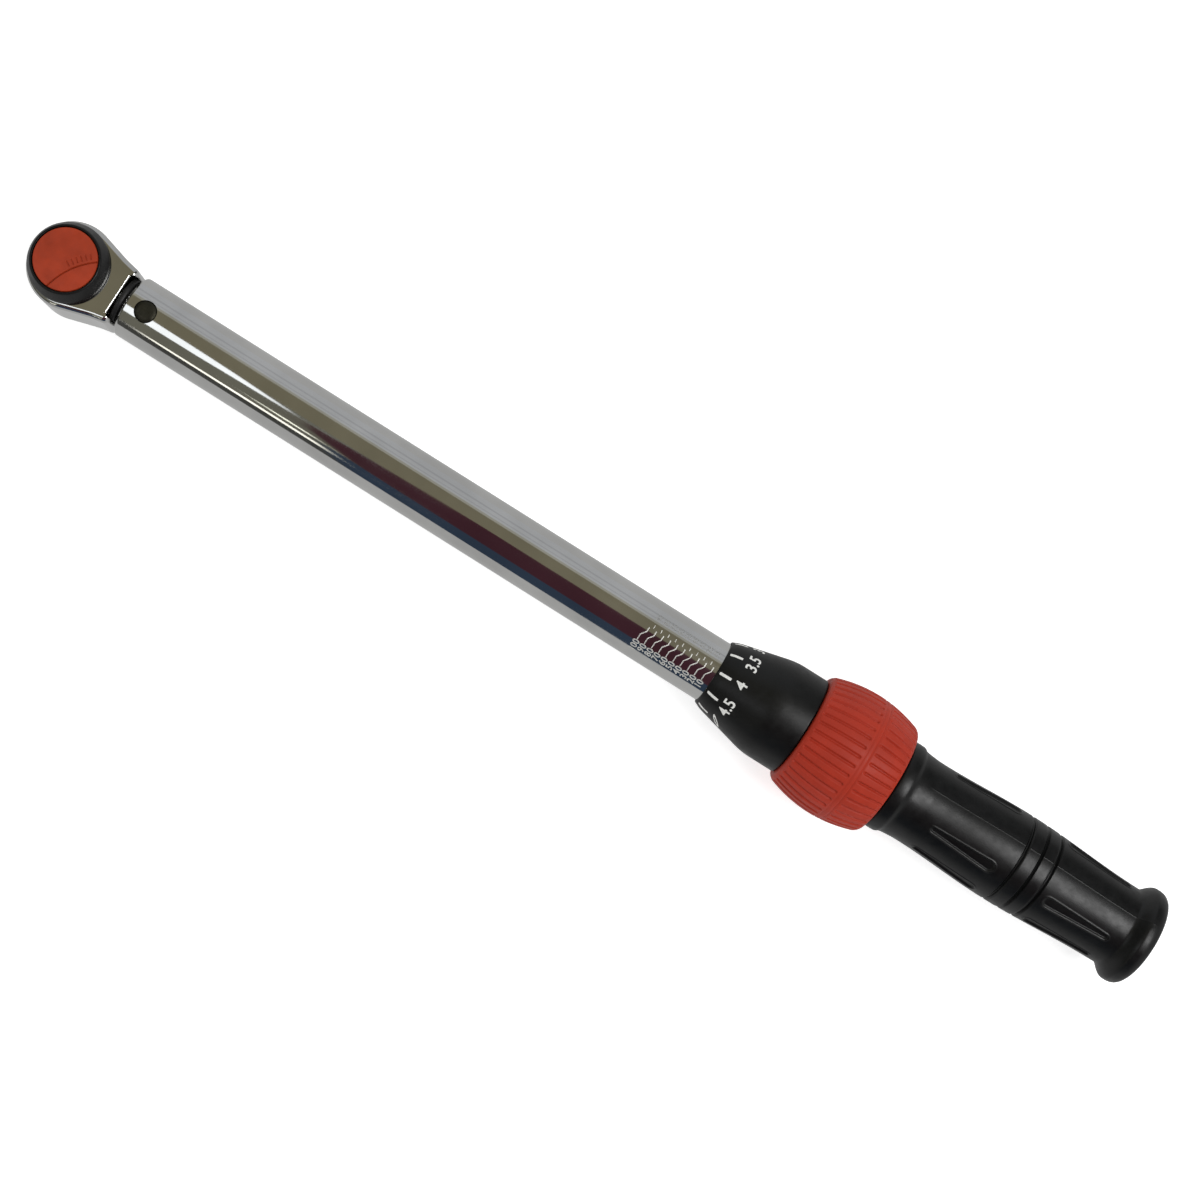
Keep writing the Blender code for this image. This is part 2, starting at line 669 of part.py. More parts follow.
def make_pivot_pin(frame):
    """The pin that the head swings on, with ends that follow the tube's surface."""
    flush = TUBE_RADIUS - 0.05 * MM
    mesh = turned([(-1, 0), (-1, PIVOT_PIN_RADIUS / 2), (-1, PIVOT_PIN_RADIUS),
                   (1, PIVOT_PIN_RADIUS), (1, PIVOT_PIN_RADIUS / 2), (1, 0)], SMALL_ROUND, "Z")
    for corner in mesh.vertices:
        end = math.sqrt(flush ** 2 - corner.co.y ** 2)
        corner.co.z = math.copysign(end, corner.co.z)
    mesh.transform(Matrix.Translation((PIVOT_X, 0, 0)))
    finished(mesh, "pivot_pin", frame, "blackened steel")


def make_tilt_block(frame):
    """The block between lever and plunger that tips over at the set torque."""
    outline = arc((BLOCK_PIVOT_X, 0), BLOCK_HALF_WIDTH, -90, 90, 8)
    outline += arc((BLOCK_FRONT_X, 0), BLOCK_HALF_WIDTH, 90, 270, 8)
    finished(extruded(outline, -BLOCK_HALF_HEIGHT, BLOCK_HALF_HEIGHT), "tilt_block", frame, "steel")


def make_plunger(frame):
    """The piston that carries the main spring's force to the block."""
    boss = 3 * MM
    outline = [
        (PLUNGER_FRONT_X, 0), (PLUNGER_FRONT_X, PLUNGER_RADIUS), (PLUNGER_REAR_X, PLUNGER_RADIUS),
        (PLUNGER_REAR_X, boss), (PLUNGER_REAR_X + 2 * boss, boss), (PLUNGER_REAR_X + 2 * boss, 0),
    ]
    plunger = finished(turned(outline, SMALL_ROUND), "plunger", frame, "steel")
    half = BLOCK_HALF_WIDTH + 0.7 * MM
    rear = BLOCK_PIVOT_X + BLOCK_HALF_WIDTH + GAP
    cut(plunger, block((PLUNGER_FRONT_X - 5 * MM, -half, -BLOCK_HALF_HEIGHT - GAP),
                       (rear, half, BLOCK_HALF_HEIGHT + GAP)))


def make_main_spring(frame):
    mesh = coil(PLUNGER_REAR_X + GAP, SEAT_X - GAP, SPRING_MEAN_RADIUS, SPRING_WIRE, SPRING_TURNS)
    finished(mesh, "main_spring", frame, "spring steel")


def make_adjuster_nut(frame):
    """The fixed brass nut that the spindle screws through."""
    rear = NUT_X + NUT_LENGTH
    bore = THREAD_RADIUS + GAP
    rim = TUBE_BORE - GAP
    outline = [(NUT_X, bore), (NUT_X, rim), (rear, rim), (rear, bore)]
    nut = finished(turned(outline, SMALL_ROUND), "adjuster_nut", frame, "brass")
    cut(nut, nut_screw_shape(GAP, 2 * TUBE_RADIUS))


def nut_screw_shape(clearance, outer_end):
    """Both screws through the tube into the nut, as one bar across that misses the nut's middle."""
    radius = NUT_SCREW_RADIUS + clearance
    inner_end = NUT_SCREW_INNER_END - clearance
    shape = bmesh.new()
    for side in (1, -1):
        middle = side * (inner_end + outer_end) / 2
        place = Matrix.Translation((NUT_X + NUT_LENGTH / 2, middle, 0))
        bmesh.ops.create_cone(
            shape, cap_ends=True, segments=TINY_ROUND, radius1=radius, radius2=radius,
            depth=outer_end - inner_end, matrix=place @ Matrix.Rotation(math.pi / 2, 4, "X"),
        )
    return as_mesh(shape)


def make_nut_screw(frame, side, number):
    """One of the two screws that hold the nut in the tube, kept below the tube's surface."""
    mesh = rod(NUT_SCREW_INNER_END, TUBE_RADIUS - GAP, NUT_SCREW_RADIUS)
    place = Matrix.Translation((NUT_X + NUT_LENGTH / 2, 0, 0))
    mesh.transform(place @ Matrix.Rotation(-side * math.pi / 2, 4, "X"))
    finished(mesh, "nut_screw_" + str(number), frame, "blackened steel")


# ---------------------------------------------------------------- adjuster and handle


def make_spring_seat(frame):
    """The cup behind the main spring, with a pocket for the thrust ball."""
    boss = 3 * MM
    rim = TUBE_BORE - 0.4 * MM
    pocket = THRUST_BALL_RADIUS + GAP
    floor = SEAT_REAR_X - SEAT_POCKET
    outline = [
        (SEAT_X - 2 * boss, 0), (SEAT_X - 2 * boss, boss), (SEAT_X, boss), (SEAT_X, rim),
        (SEAT_REAR_X, rim), (SEAT_REAR_X, pocket), (floor, pocket), (floor, 0),
    ]
    finished(turned(outline, SMALL_ROUND), "spring_seat", frame, "steel")


def make_thrust_ball(frame):
    centre = SEAT_REAR_X - SEAT_POCKET + GAP + THRUST_BALL_RADIUS
    finished(ball(THRUST_BALL_RADIUS, (centre, 0, 0)), "thrust_ball", frame, "steel")


def make_spindle(frame):
    """The adjusting screw, bolted to the handle core at its rear end."""
    tip = SEAT_REAR_X + GAP
    dimple = THRUST_BALL_RADIUS + GAP
    dimple_floor = tip + 1.7 * MM
    shoulder_rear = CORE_WALL_X[0] - GAP
    shoulder_front = shoulder_rear - 3 * MM
    shoulder = SPINDLE_RADIUS + 2 * MM
    bolt_bore = 2.8 * MM
    bolt_floor = CORE_WALL_X[1] - 15 * MM
    outline = [
        (dimple_floor, 0), (dimple_floor, dimple), (tip, dimple), (tip, SPINDLE_RADIUS),
        (THREAD_FRONT_X, SPINDLE_RADIUS),
    ]
    outline += thread_rings(THREAD_FRONT_X, THREAD_REAR_X)
    outline += [
        (THREAD_REAR_X, SPINDLE_RADIUS), (shoulder_front, SPINDLE_RADIUS),
        (shoulder_front, shoulder), (shoulder_rear, shoulder), (shoulder_rear, SPINDLE_RADIUS),
        (CORE_WALL_X[1], SPINDLE_RADIUS), (CORE_WALL_X[1], bolt_bore),
        (bolt_floor, bolt_bore), (bolt_floor, 0),
    ]
    finished(turned(outline, TINY_ROUND), "spindle", frame, "steel")


def thread_rings(front, rear):
    """The outline of the threaded stretch: one crest and one root for each lead."""
    turns = int((rear - front) / THREAD_LEAD)
    depth = 0.6 * MM
    points = []
    for turn in range(turns):
        foot = front + turn * THREAD_LEAD
        points.append((foot + 0.4 * THREAD_LEAD, THREAD_RADIUS))
        points.append((foot + 0.9 * THREAD_LEAD, THREAD_RADIUS - depth))
    return points


def make_thimble(frame):
    """The black cone whose front edge and numbers are read against the tube's scale."""
    lip = 2.4 * MM
    blend = 2.2 * MM
    edge = 0.4 * MM
    slope = (THIMBLE_RADIUS - THIMBLE_CONE_RADIUS) / (THIMBLE_CONE_X - THIMBLE_FRONT_X - lip)
    outline = [
        (THIMBLE_FRONT_X, CORE_BORE), (THIMBLE_FRONT_X, THIMBLE_LIP_RADIUS),
        (THIMBLE_FRONT_X + lip, THIMBLE_CONE_RADIUS),
        (THIMBLE_CONE_X - blend, THIMBLE_RADIUS - blend * slope),
        (THIMBLE_CONE_X, THIMBLE_RADIUS - 0.15 * MM), (THIMBLE_CONE_X + blend, THIMBLE_RADIUS),
        (THIMBLE_REAR_X - edge, THIMBLE_RADIUS), (THIMBLE_REAR_X, THIMBLE_RADIUS - edge),
        (THIMBLE_REAR_X, CORE_RADIUS + GAP), (CORE_FRONT_X - GAP, CORE_RADIUS + GAP),
        (CORE_FRONT_X - GAP, CORE_BORE),
    ]
    finished(turned(outline), "thimble", frame, "black plastic")


def make_handle_core(frame):
    """The inner sleeve that slides on the tube and carries thimble, collar and grip."""
    groove_front = STOP_RING_X - GAP / 2
    groove_rear = STOP_RING_X + STOP_RING_THICK + GAP / 2
    groove = CORE_RADIUS - 0.8 * MM
    web_bore = SPINDLE_RADIUS + GAP
    outline = [
        (CORE_FRONT_X, CORE_BORE), (CORE_FRONT_X, CORE_RADIUS), (groove_front, CORE_RADIUS),
        (groove_front, groove), (groove_rear, groove), (groove_rear, CORE_RADIUS),
        (CORE_REAR_X, CORE_RADIUS), (CORE_REAR_X, CORE_BORE), (CORE_WALL_X[1], CORE_BORE),
        (CORE_WALL_X[1], web_bore), (CORE_WALL_X[0], web_bore), (CORE_WALL_X[0], CORE_BORE),
    ]
    core = finished(turned(outline, ROUND), "handle_core", frame, "steel")
    hole = BALL_RADIUS + GAP
    for angle in lock_ball_angles():
        bore = rod(CORE_BORE - hole, CORE_RADIUS + hole, hole)
        bore.transform(Matrix.Rotation(angle, 4, "X") @ Matrix.Translation((LOCK_BALL_X, 0, 0)))
        cut(core, bore)


def lock_ball_angles():
    return [2 * math.pi * number / LOCK_BALLS for number in range(LOCK_BALLS)]


def lock_ball_centre(angle):
    """A lock ball rests just off the tube, in its hole in the core."""
    return Matrix.Rotation(angle, 3, "X") @ Vector((LOCK_BALL_X, 0, TUBE_RADIUS + GAP + BALL_RADIUS))


def make_lock_ball(frame, number, angle):
    finished(ball(BALL_RADIUS, lock_ball_centre(angle)), "lock_ball_" + str(number), frame, "steel")


def make_stop_ring(frame):
    """The snap ring on the core that the collar's spring pushes against."""
    inner = CORE_RADIUS - 0.8 * MM + GAP
    outer = COLLAR_BORE - 3 * GAP
    mesh = laid_along_x(open_ring(inner, outer, 0, STOP_RING_THICK), STOP_RING_X)
    finished(mesh, "collar_stop_ring", frame, "spring steel")


def collar_radius(x):
    """The barrel shape of the collar: a parabola with its crown in the middle."""
    middle = (COLLAR_FRONT_X + COLLAR_REAR_X) / 2
    half = (COLLAR_REAR_X - COLLAR_FRONT_X) / 2
    return COLLAR_RADIUS - (COLLAR_RADIUS - COLLAR_END_RADIUS) * ((x - middle) / half) ** 2


def make_lock_collar(frame):
    """The red collar that is pulled back to free the grip."""
    steps = 6
    front = COLLAR_FRONT_X + COLLAR_EDGE
    rear = COLLAR_REAR_X - COLLAR_EDGE
    crown = [front + (rear - front) * i / steps for i in range(steps + 1)]
    outline = [(COLLAR_FRONT_X, CORE_RADIUS + GAP), (COLLAR_FRONT_X, COLLAR_END_RADIUS - COLLAR_EDGE)]
    outline += [(x, collar_radius(x)) for x in crown]
    outline += [
        (COLLAR_REAR_X, COLLAR_END_RADIUS - COLLAR_EDGE), (COLLAR_REAR_X, COLLAR_BORE),
        (COLLAR_WALL_X, COLLAR_BORE), (COLLAR_WALL_X, CORE_RADIUS + GAP),
    ]
    finished(turned(outline), "lock_collar", frame, "red plastic")


def make_lock_ring(frame):
    """The steel ring inside the collar whose cone holds the balls in."""
    front, rear = LOCK_RING_X
    wide, narrow = LOCK_RING_BORES
    rim = COLLAR_BORE - GAP
    narrow_x = LOCK_BALL_X + BALL_RADIUS
    outline = [(front, wide), (front, rim), (rear, rim), (rear, narrow), (narrow_x, narrow)]
    finished(turned(outline, SMALL_ROUND), "lock_ring", frame, "steel")


def make_collar_spring(frame):
    start = LOCK_RING_X[1] + GAP
    wire = 0.45 * MM
    mean_radius = CORE_RADIUS + GAP + 2 * wire
    mesh = coil(start, STOP_RING_X - GAP, mean_radius, wire, turns=4, steps_per_turn=14, sides=4)
    finished(mesh, "collar_spring", frame, "spring steel")


def grip_outline():
    """The outside of the grip: front lip, waist, long belly, neck and a flared end."""
    lip_edge = 0.5 * MM
    outline = [(GRIP_FRONT_X, GRIP_LIP[1] - lip_edge), (GRIP_FRONT_X + lip_edge, GRIP_LIP[1]), GRIP_LIP]
    outline.append((GRIP_LIP[0] + 1.2 * MM, GRIP_LIP[1] - 0.9 * MM))
    outline.append(GRIP_WAIST)
    outline += eased(GRIP_WAIST, GRIP_BELLY, 3)
    outline += eased(GRIP_BELLY, GRIP_NECK, 3)
    outline += eased(GRIP_NECK, GRIP_FLARE, 3)
    rim = 1.5 * MM
    outline += [(GRIP_REAR_X - 0.5 * rim, GRIP_FLARE[1] - 0.3 * rim), (GRIP_REAR_X, GRIP_FLARE[1] - rim)]
    return outline


def eased(start, end, steps):
    """Points from just after one station to the next, along half a cosine wave."""
    points = []
    for step in range(1, steps + 1):
        share = step / steps
        lift = (1 - math.cos(math.pi * share)) / 2
        points.append((start[0] + (end[0] - start[0]) * share, start[1] + (end[1] - start[1]) * lift))
    return points


def make_grip_shell(frame):
    """The black moulded grip around the core."""
    bore = CORE_RADIUS + GAP
    outline = [(GRIP_FRONT_X, bore)] + grip_outline() + [(GRIP_REAR_X, bore)]
    finished(turned(outline), "grip_shell", frame, "black rubber")


def make_end_cap(frame):
    """The plug in the rear end of the grip."""
    rim = CORE_RADIUS
    rear = GRIP_REAR_X - 0.7 * MM
    edge = 0.6 * MM
    outline = [
        (END_CAP_FRONT_X, 0), (END_CAP_FRONT_X, rim), (rear - edge, rim), (rear, rim - edge), (rear, 0),
    ]
    finished(turned(outline, SMALL_ROUND), "end_cap", frame, "black plastic")


def make_end_washer(frame):
    front = CORE_WALL_X[1] + GAP
    rear = front + END_WASHER_THICK
    bore = END_BOLT_RADIUS + 0.7 * MM
    rim = CORE_BORE - 1.6 * MM
    mesh = turned([(front, bore), (front, rim), (rear, rim), (rear, bore)], SMALL_ROUND)
    finished(mesh, "end_washer", frame, "steel")


def make_end_bolt(frame):
    """The hexagon bolt that holds the spindle to the core."""
    head_front = CORE_WALL_X[1] + END_WASHER_THICK + 2 * GAP
    head_thick = 4 * MM
    head_corner = 5.8 * MM
    tip = CORE_WALL_X[1] - 13 * MM
    overlap = 1 * MM
    hexagon = arc((0, 0), head_corner, 0, 300, 5)
    head = laid_along_x(extruded(hexagon, 0, head_thick), head_front)
    bolt = finished(head, "end_bolt", frame, "steel")
    join(bolt, laid_along_x(rod(tip, head_front + overlap, END_BOLT_RADIUS)))


# ---------------------------------------------------------------- assembly


def make_head_group(tool):
    swing = joint_frame("head_pivot", (PIVOT_X, 0, 0), tool)
    make_head(swing)
    make_dust_seal(swing)
    make_cover_plate(swing)
    make_cover_snap_ring(swing)
    make_pawl_pin(swing)
    drive = joint_frame("drive_axis", (0, 0, 0), swing)
    make_drive_gear(drive)
    make_dial_screw(drive)
    make_socket_ball_spring(drive)
    make_socket_ball(joint_frame("socket_ball_centre", ball_centre(), drive))
    dial = joint_frame("dial_axis", (0, 0, 0), swing)
    make_dial_ring(dial)
    make_dial_cap(dial)
    make_dial_detent(dial)
    pawl = joint_frame("pawl_pivot", (PAWL_PIN_X, 0, 0), swing)
    make_pawl(pawl)
    pawl.rotation_euler.z = PAWL_ROCK


def make_tube_group(tool):
    make_tube(tool)
    make_pivot_pin(tool)
    make_plunger(tool)
    make_main_spring(tool)
    make_adjuster_nut(tool)
    for number, side in enumerate((1, -1), start=1):
        make_nut_screw(tool, side, number)
    make_tilt_block(joint_frame("tilt_block_pivot", (BLOCK_PIVOT_X, 0, 0), tool))


def make_handle_group(tool):
    thrust = joint_frame("spring_seat_slide", (SEAT_X, 0, 0), tool)
    make_spring_seat(thrust)
    make_thrust_ball(thrust)
    grip = joint_frame("grip_axis", (THIMBLE_FRONT_X, 0, 0), thrust)
    make_spindle(grip)
    make_thimble(grip)
    make_handle_core(grip)
    make_stop_ring(grip)
    make_collar_spring(grip)
    make_grip_shell(grip)
    make_end_cap(grip)
    make_end_washer(grip)
    make_end_bolt(grip)
    for number, angle in enumerate(lock_ball_angles(), start=1):
        seat = joint_frame("lock_ball_centre_" + str(number), lock_ball_centre(angle), grip)
        make_lock_ball(seat, number, angle)
    collar = joint_frame("collar_slide", (COLLAR_FRONT_X, 0, 0), grip)
    make_lock_collar(collar)
    make_lock_ring(collar)


def main():
    clear_scene()
    tool = joint_frame("tool_axis", (0, 0, 0))
    tool.location.z = AXIS_HEIGHT
    make_head_group(tool)
    make_tube_group(tool)
    make_handle_group(tool)


main()
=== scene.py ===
"""The looks of the torque wrench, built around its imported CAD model.

Every size is in metres, in the CAD's frame: +X runs from the square drive along the tube, +Z is up
through the dial, and the tube's axis lies AXIS above the origin. Angles around the tube start at +Z
and grow towards -Y.
"""

import json
import math

import bmesh
import bpy
from mathutils import Matrix, Vector


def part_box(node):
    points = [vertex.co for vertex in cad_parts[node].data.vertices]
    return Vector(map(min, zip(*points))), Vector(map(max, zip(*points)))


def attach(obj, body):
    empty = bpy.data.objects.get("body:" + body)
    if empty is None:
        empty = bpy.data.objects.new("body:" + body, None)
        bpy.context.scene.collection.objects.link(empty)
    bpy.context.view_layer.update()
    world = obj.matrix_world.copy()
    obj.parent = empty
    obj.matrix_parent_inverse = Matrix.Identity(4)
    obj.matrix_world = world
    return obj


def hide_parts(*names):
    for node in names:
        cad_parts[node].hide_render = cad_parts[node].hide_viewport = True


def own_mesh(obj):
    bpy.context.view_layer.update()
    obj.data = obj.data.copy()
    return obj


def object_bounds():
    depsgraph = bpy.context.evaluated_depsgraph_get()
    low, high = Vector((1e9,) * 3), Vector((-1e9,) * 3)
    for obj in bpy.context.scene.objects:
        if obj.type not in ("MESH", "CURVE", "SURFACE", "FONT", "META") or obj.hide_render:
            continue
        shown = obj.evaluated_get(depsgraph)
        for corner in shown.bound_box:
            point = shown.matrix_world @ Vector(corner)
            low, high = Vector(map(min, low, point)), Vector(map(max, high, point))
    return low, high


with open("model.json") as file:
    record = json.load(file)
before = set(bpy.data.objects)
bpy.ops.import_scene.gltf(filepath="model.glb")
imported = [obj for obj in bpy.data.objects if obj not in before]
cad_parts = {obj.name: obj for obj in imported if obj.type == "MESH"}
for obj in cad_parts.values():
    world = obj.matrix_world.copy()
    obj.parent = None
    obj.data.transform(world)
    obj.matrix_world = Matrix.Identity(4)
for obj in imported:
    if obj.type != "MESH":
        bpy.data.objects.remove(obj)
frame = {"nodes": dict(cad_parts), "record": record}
CAD_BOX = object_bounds()

MM = 0.001
FULL_TURN = 2 * math.pi
MERGE = 1e-7

TUBE_LOW, TUBE_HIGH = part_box("tube")
AXIS = (TUBE_LOW.z + TUBE_HIGH.z) / 2
TUBE_RADIUS = (TUBE_HIGH.z - TUBE_LOW.z) / 2
THIMBLE_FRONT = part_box("thimble")[0].x
FAR = 30 * MM  # past any part of the head, for the pieces that cut it

HEAD_CENTRE_X = 0.6 * MM
HEAD_RADIUS = 14.1 * MM
HEAD_HALF_HEIGHT = 9.8 * MM
HEAD_REAR_X = 19.8 * MM
SEAL_SLOT_X = 17.9 * MM
SEAL_SLOT_HALF_WIDTH = 7.8 * MM
PIVOT_X = 28 * MM
PIN_RADIUS = 3.5 * MM
PAWL_PIN_X = 11.9 * MM
BALL_RADIUS = 1.5 * MM
DISC_LOW, DISC_HIGH = 14.3 * MM, 16.1 * MM
DISC_RADIUS = 10 * MM

# The tube's scale: ten main lines, 10 to 100, and the finer lines between them
SCALE_PITCH = 2.6 * MM
SCALE_TENS = 10
SCALE_TEN_X = THIMBLE_FRONT - 0.6 * SCALE_PITCH  # the thimble's edge is on 4, which is 6 short of 10
THIMBLE_STEP = math.radians(36)  # between the thimble's numbers
THIMBLE_ZERO = math.radians(0.6)  # where the mark over the scale stands

# Points of the thimble's outside, as (x, radius)
THIMBLE_EDGE = (236.8 * MM, 11.0 * MM)
THIMBLE_LIP = (239.2 * MM, 12.1 * MM)
THIMBLE_SHOULDER = (257.3 * MM, 16.6 * MM)
THIMBLE_REAR_X = 268.8 * MM
HANDLE_BORE = 12.9 * MM

COLLAR_FRONT, COLLAR_REAR = 269.1 * MM, 300.8 * MM
COLLAR_RADIUS = 21.5 * MM
COLLAR_CROWN = 3.0 * MM  # how much thinner its ends are
COLLAR_GROOVES = 40
GRIP_PARTING = math.radians(-19)  # the angle of the moulding's parting line
GRIP_SLOTS = 8  # places round the grip, two of which the parting line takes
GRIP_SWELL_X, GRIP_FLANGE_X = 313 * MM, 390.6 * MM  # where the grip's long curve starts and ends


# ---------------------------------------------------------------- making meshes


def add_piece(name, mesh, body, finishes, slot, replaces=None, finish=None):
    """Make a mesh, drawn around the tube's axis, into a piece that rides on a body.

    Its finish is the one named after its slot, or else another one.
    """
    mesh.name = name
    mesh.transform(Matrix.Translation((0, 0, AXIS)))
    mesh.materials.append(finishes[finish or slot])
    piece = bpy.data.objects.new(name, mesh)
    bpy.context.scene.collection.objects.link(piece)
    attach(piece, body)
    if replaces:
        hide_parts(replaces)
    return piece


def in_metres(points):
    """Points drawn in millimetres."""
    return [tuple(value * MM for value in point) for point in points]


def as_mesh(shape, sharp=35):
    """Turn a closed bmesh into a smooth mesh with its corners sharper than an angle kept."""
    bmesh.ops.recalc_face_normals(shape, faces=shape.faces)
    mesh = bpy.data.meshes.new("mesh")
    shape.to_mesh(mesh)
    shape.free()
    mesh.shade_smooth()
    mesh.set_sharp_from_angle(angle=math.radians(sharp))
    return mesh


def turned(outline, sides=128, relief=None, axis="X", sharp=35):
    """Turn an outline of (along, radius) points; relief(along, angle) raises the outer ones.

    The outline starts and ends on the axis, or else closes on itself. Points past the first one that
    are given as (along, radius, True) take the relief.
    """
    shape = bmesh.new()
    rings = []
    for point in outline:
        along, radius = point[0], point[1]
        raised = relief is not None and len(point) > 2
        if radius < MERGE:
            centre = (along, 0, 0) if axis == "X" else (0, 0, along)
            rings.append([shape.verts.new(centre)])
            continue
        ring = []
        for side in range(sides):
            angle = FULL_TURN * side / sides
            height = radius + (relief(along, angle) if raised else 0)
            if axis == "X":
                place = (along, -height * math.sin(angle), height * math.cos(angle))
            else:
                place = (height * math.cos(angle), height * math.sin(angle), along)
            ring.append(shape.verts.new(place))
        rings.append(ring)
    pairs = list(zip(rings, rings[1:]))
    if outline[0][1] > MERGE:
        pairs.append((rings[-1], rings[0]))
    for one, other in pairs:
        for side in range(sides):
            after = (side + 1) % sides
            corners = [one[side % len(one)], one[after % len(one)],
                       other[after % len(other)], other[side % len(other)]]
            shape.faces.new(list(dict.fromkeys(corners)))
    return as_mesh(shape, sharp)


def rounded(outline, radius, steps=5):
    """Round the corners of an open outline; a point's own third value overrides the radius."""
    points = [outline[0][:2]]
    for before, corner, after in zip(outline, outline[1:], outline[2:]):
        size = corner[2] if len(corner) > 2 else radius
        here = Vector(corner[:2])
        back = Vector(before[:2]) - here
        on = Vector(after[:2]) - here
        reach = min(size, 0.49 * back.length, 0.49 * on.length)
        start = here + back.normalized() * reach
        end = here + on.normalized() * reach
        for step in range(steps + 1):
            t = step / steps
            points.append(tuple(start * (1 - t) ** 2 + here * (2 * t * (1 - t)) + end * t ** 2))
    points.append(outline[-1][:2])
    return points


def extruded(outline, low, high):
    """Raise an outline of (x, y) points from one height to another."""
    shape = bmesh.new()
    base = shape.faces.new([shape.verts.new((x, y, low)) for x, y in outline])
    raised = bmesh.ops.extrude_face_region(shape, geom=[base])["geom"]
    corners = [item for item in raised if isinstance(item, bmesh.types.BMVert)]
    bmesh.ops.translate(shape, verts=corners, vec=(0, 0, high - low))
    return shape


def moved(mesh, vector):
    """Shift a mesh, and hand it back."""
    mesh.transform(Matrix.Translation(vector))
    return mesh


def box_mesh(low, high):
    """A box between two opposite corners."""
    outline = [(low[0], low[1]), (high[0], low[1]), (high[0], high[1]), (low[0], high[1])]
    return as_mesh(extruded(outline, low[2], high[2]))


def rod(low, high, radius, sides):
    """An upright cylinder on the head's middle axis."""
    return turned([(low, 0), (low, radius), (high, radius), (high, 0)], sides, axis="Z")


def bridge(shape, rings):
    """Join each ring of corners to the next with a band of faces."""
    for one, other in zip(rings, rings[1:]):
        for side in range(len(one)):
            after = (side + 1) % len(one)
            shape.faces.new((one[side], one[after], other[after], other[side]))


def fan(shape, ring, middle):
    """Close a ring of corners with faces that meet in its middle."""
    centre = shape.verts.new(middle)
    for side in range(len(ring)):
        shape.faces.new((ring[side], ring[(side + 1) % len(ring)], centre))


def arc(centre, radius, start, end, steps):
    """Points on an arc, from one angle in degrees to another."""
    angles = [math.radians(start + (end - start) * i / steps) for i in range(steps + 1)]
    return [(centre[0] + radius * math.cos(a), centre[1] + radius * math.sin(a)) for a in angles]


def coil(start, end, mean_radius, wire_radius, turns, steps_per_turn=32, sides=10):
    """A compression spring along X whose first and last turns are closed."""
    shape = bmesh.new()
    closed_pitch = 2.15 * wire_radius
    low = start + wire_radius
    high = end - wire_radius
    open_pitch = (high - low - 2 * closed_pitch) / (turns - 2)
    rings = []
    for step in range(turns * steps_per_turn + 1):
        turn = step / steps_per_turn
        opened = min(max(turn - 1, 0), turns - 2)
        angle = FULL_TURN * turn
        outward = Vector((0, math.cos(angle), math.sin(angle)))
        centre = outward * mean_radius
        centre.x = low + closed_pitch * (turn - opened) + open_pitch * opened
        ring = []
        for side in range(sides):
            around = FULL_TURN * side / sides
            offset = outward * math.cos(around) + Vector((1, 0, 0)) * math.sin(around)
            ring.append(shape.verts.new(centre + offset * wire_radius))
        rings.append(ring)
    bridge(shape, rings)
    shape.faces.new(rings[0])
    shape.faces.new(rings[-1])
    return as_mesh(shape, 60)


def boolean(mesh, other, operation, sharp=35):
    """Cut one mesh out of another, or join them."""
    base = bpy.data.objects.new("base", mesh)
    tool = bpy.data.objects.new("tool", other)
    for thing in (base, tool):
        bpy.context.scene.collection.objects.link(thing)
    modifier = base.modifiers.new("boolean", "BOOLEAN")
    modifier.operation = operation
    modifier.solver = "EXACT"
    modifier.object = tool
    made = bpy.data.meshes.new_from_object(base.evaluated_get(bpy.context.evaluated_depsgraph_get()))
    for thing in (base, tool):
        bpy.data.objects.remove(thing)
    made.shade_smooth()
    made.set_sharp_from_angle(angle=math.radians(sharp))
    return made


def smooth_step(value, low, high):
    """0 below low, 1 above high, and an even curve between them."""
    share = min(max((value - low) / (high - low), 0), 1)
    return share * share * (3 - 2 * share)


def slot_distance(along, across, length, narrow, wide):
    """Distance from the edge of a teardrop that starts at 0 and runs along for a length."""
    across = abs(across)
    lean = (narrow - wide) / length
    side = math.sqrt(1 - lean * lean)
    place = along * side - across * lean
    if place < 0:
        return math.hypot(across, along) - narrow
    if place > side * length:
        return math.hypot(across, along - length) - wide
    return across * side + along * lean - narrow


# ---------------------------------------------------------------- materials


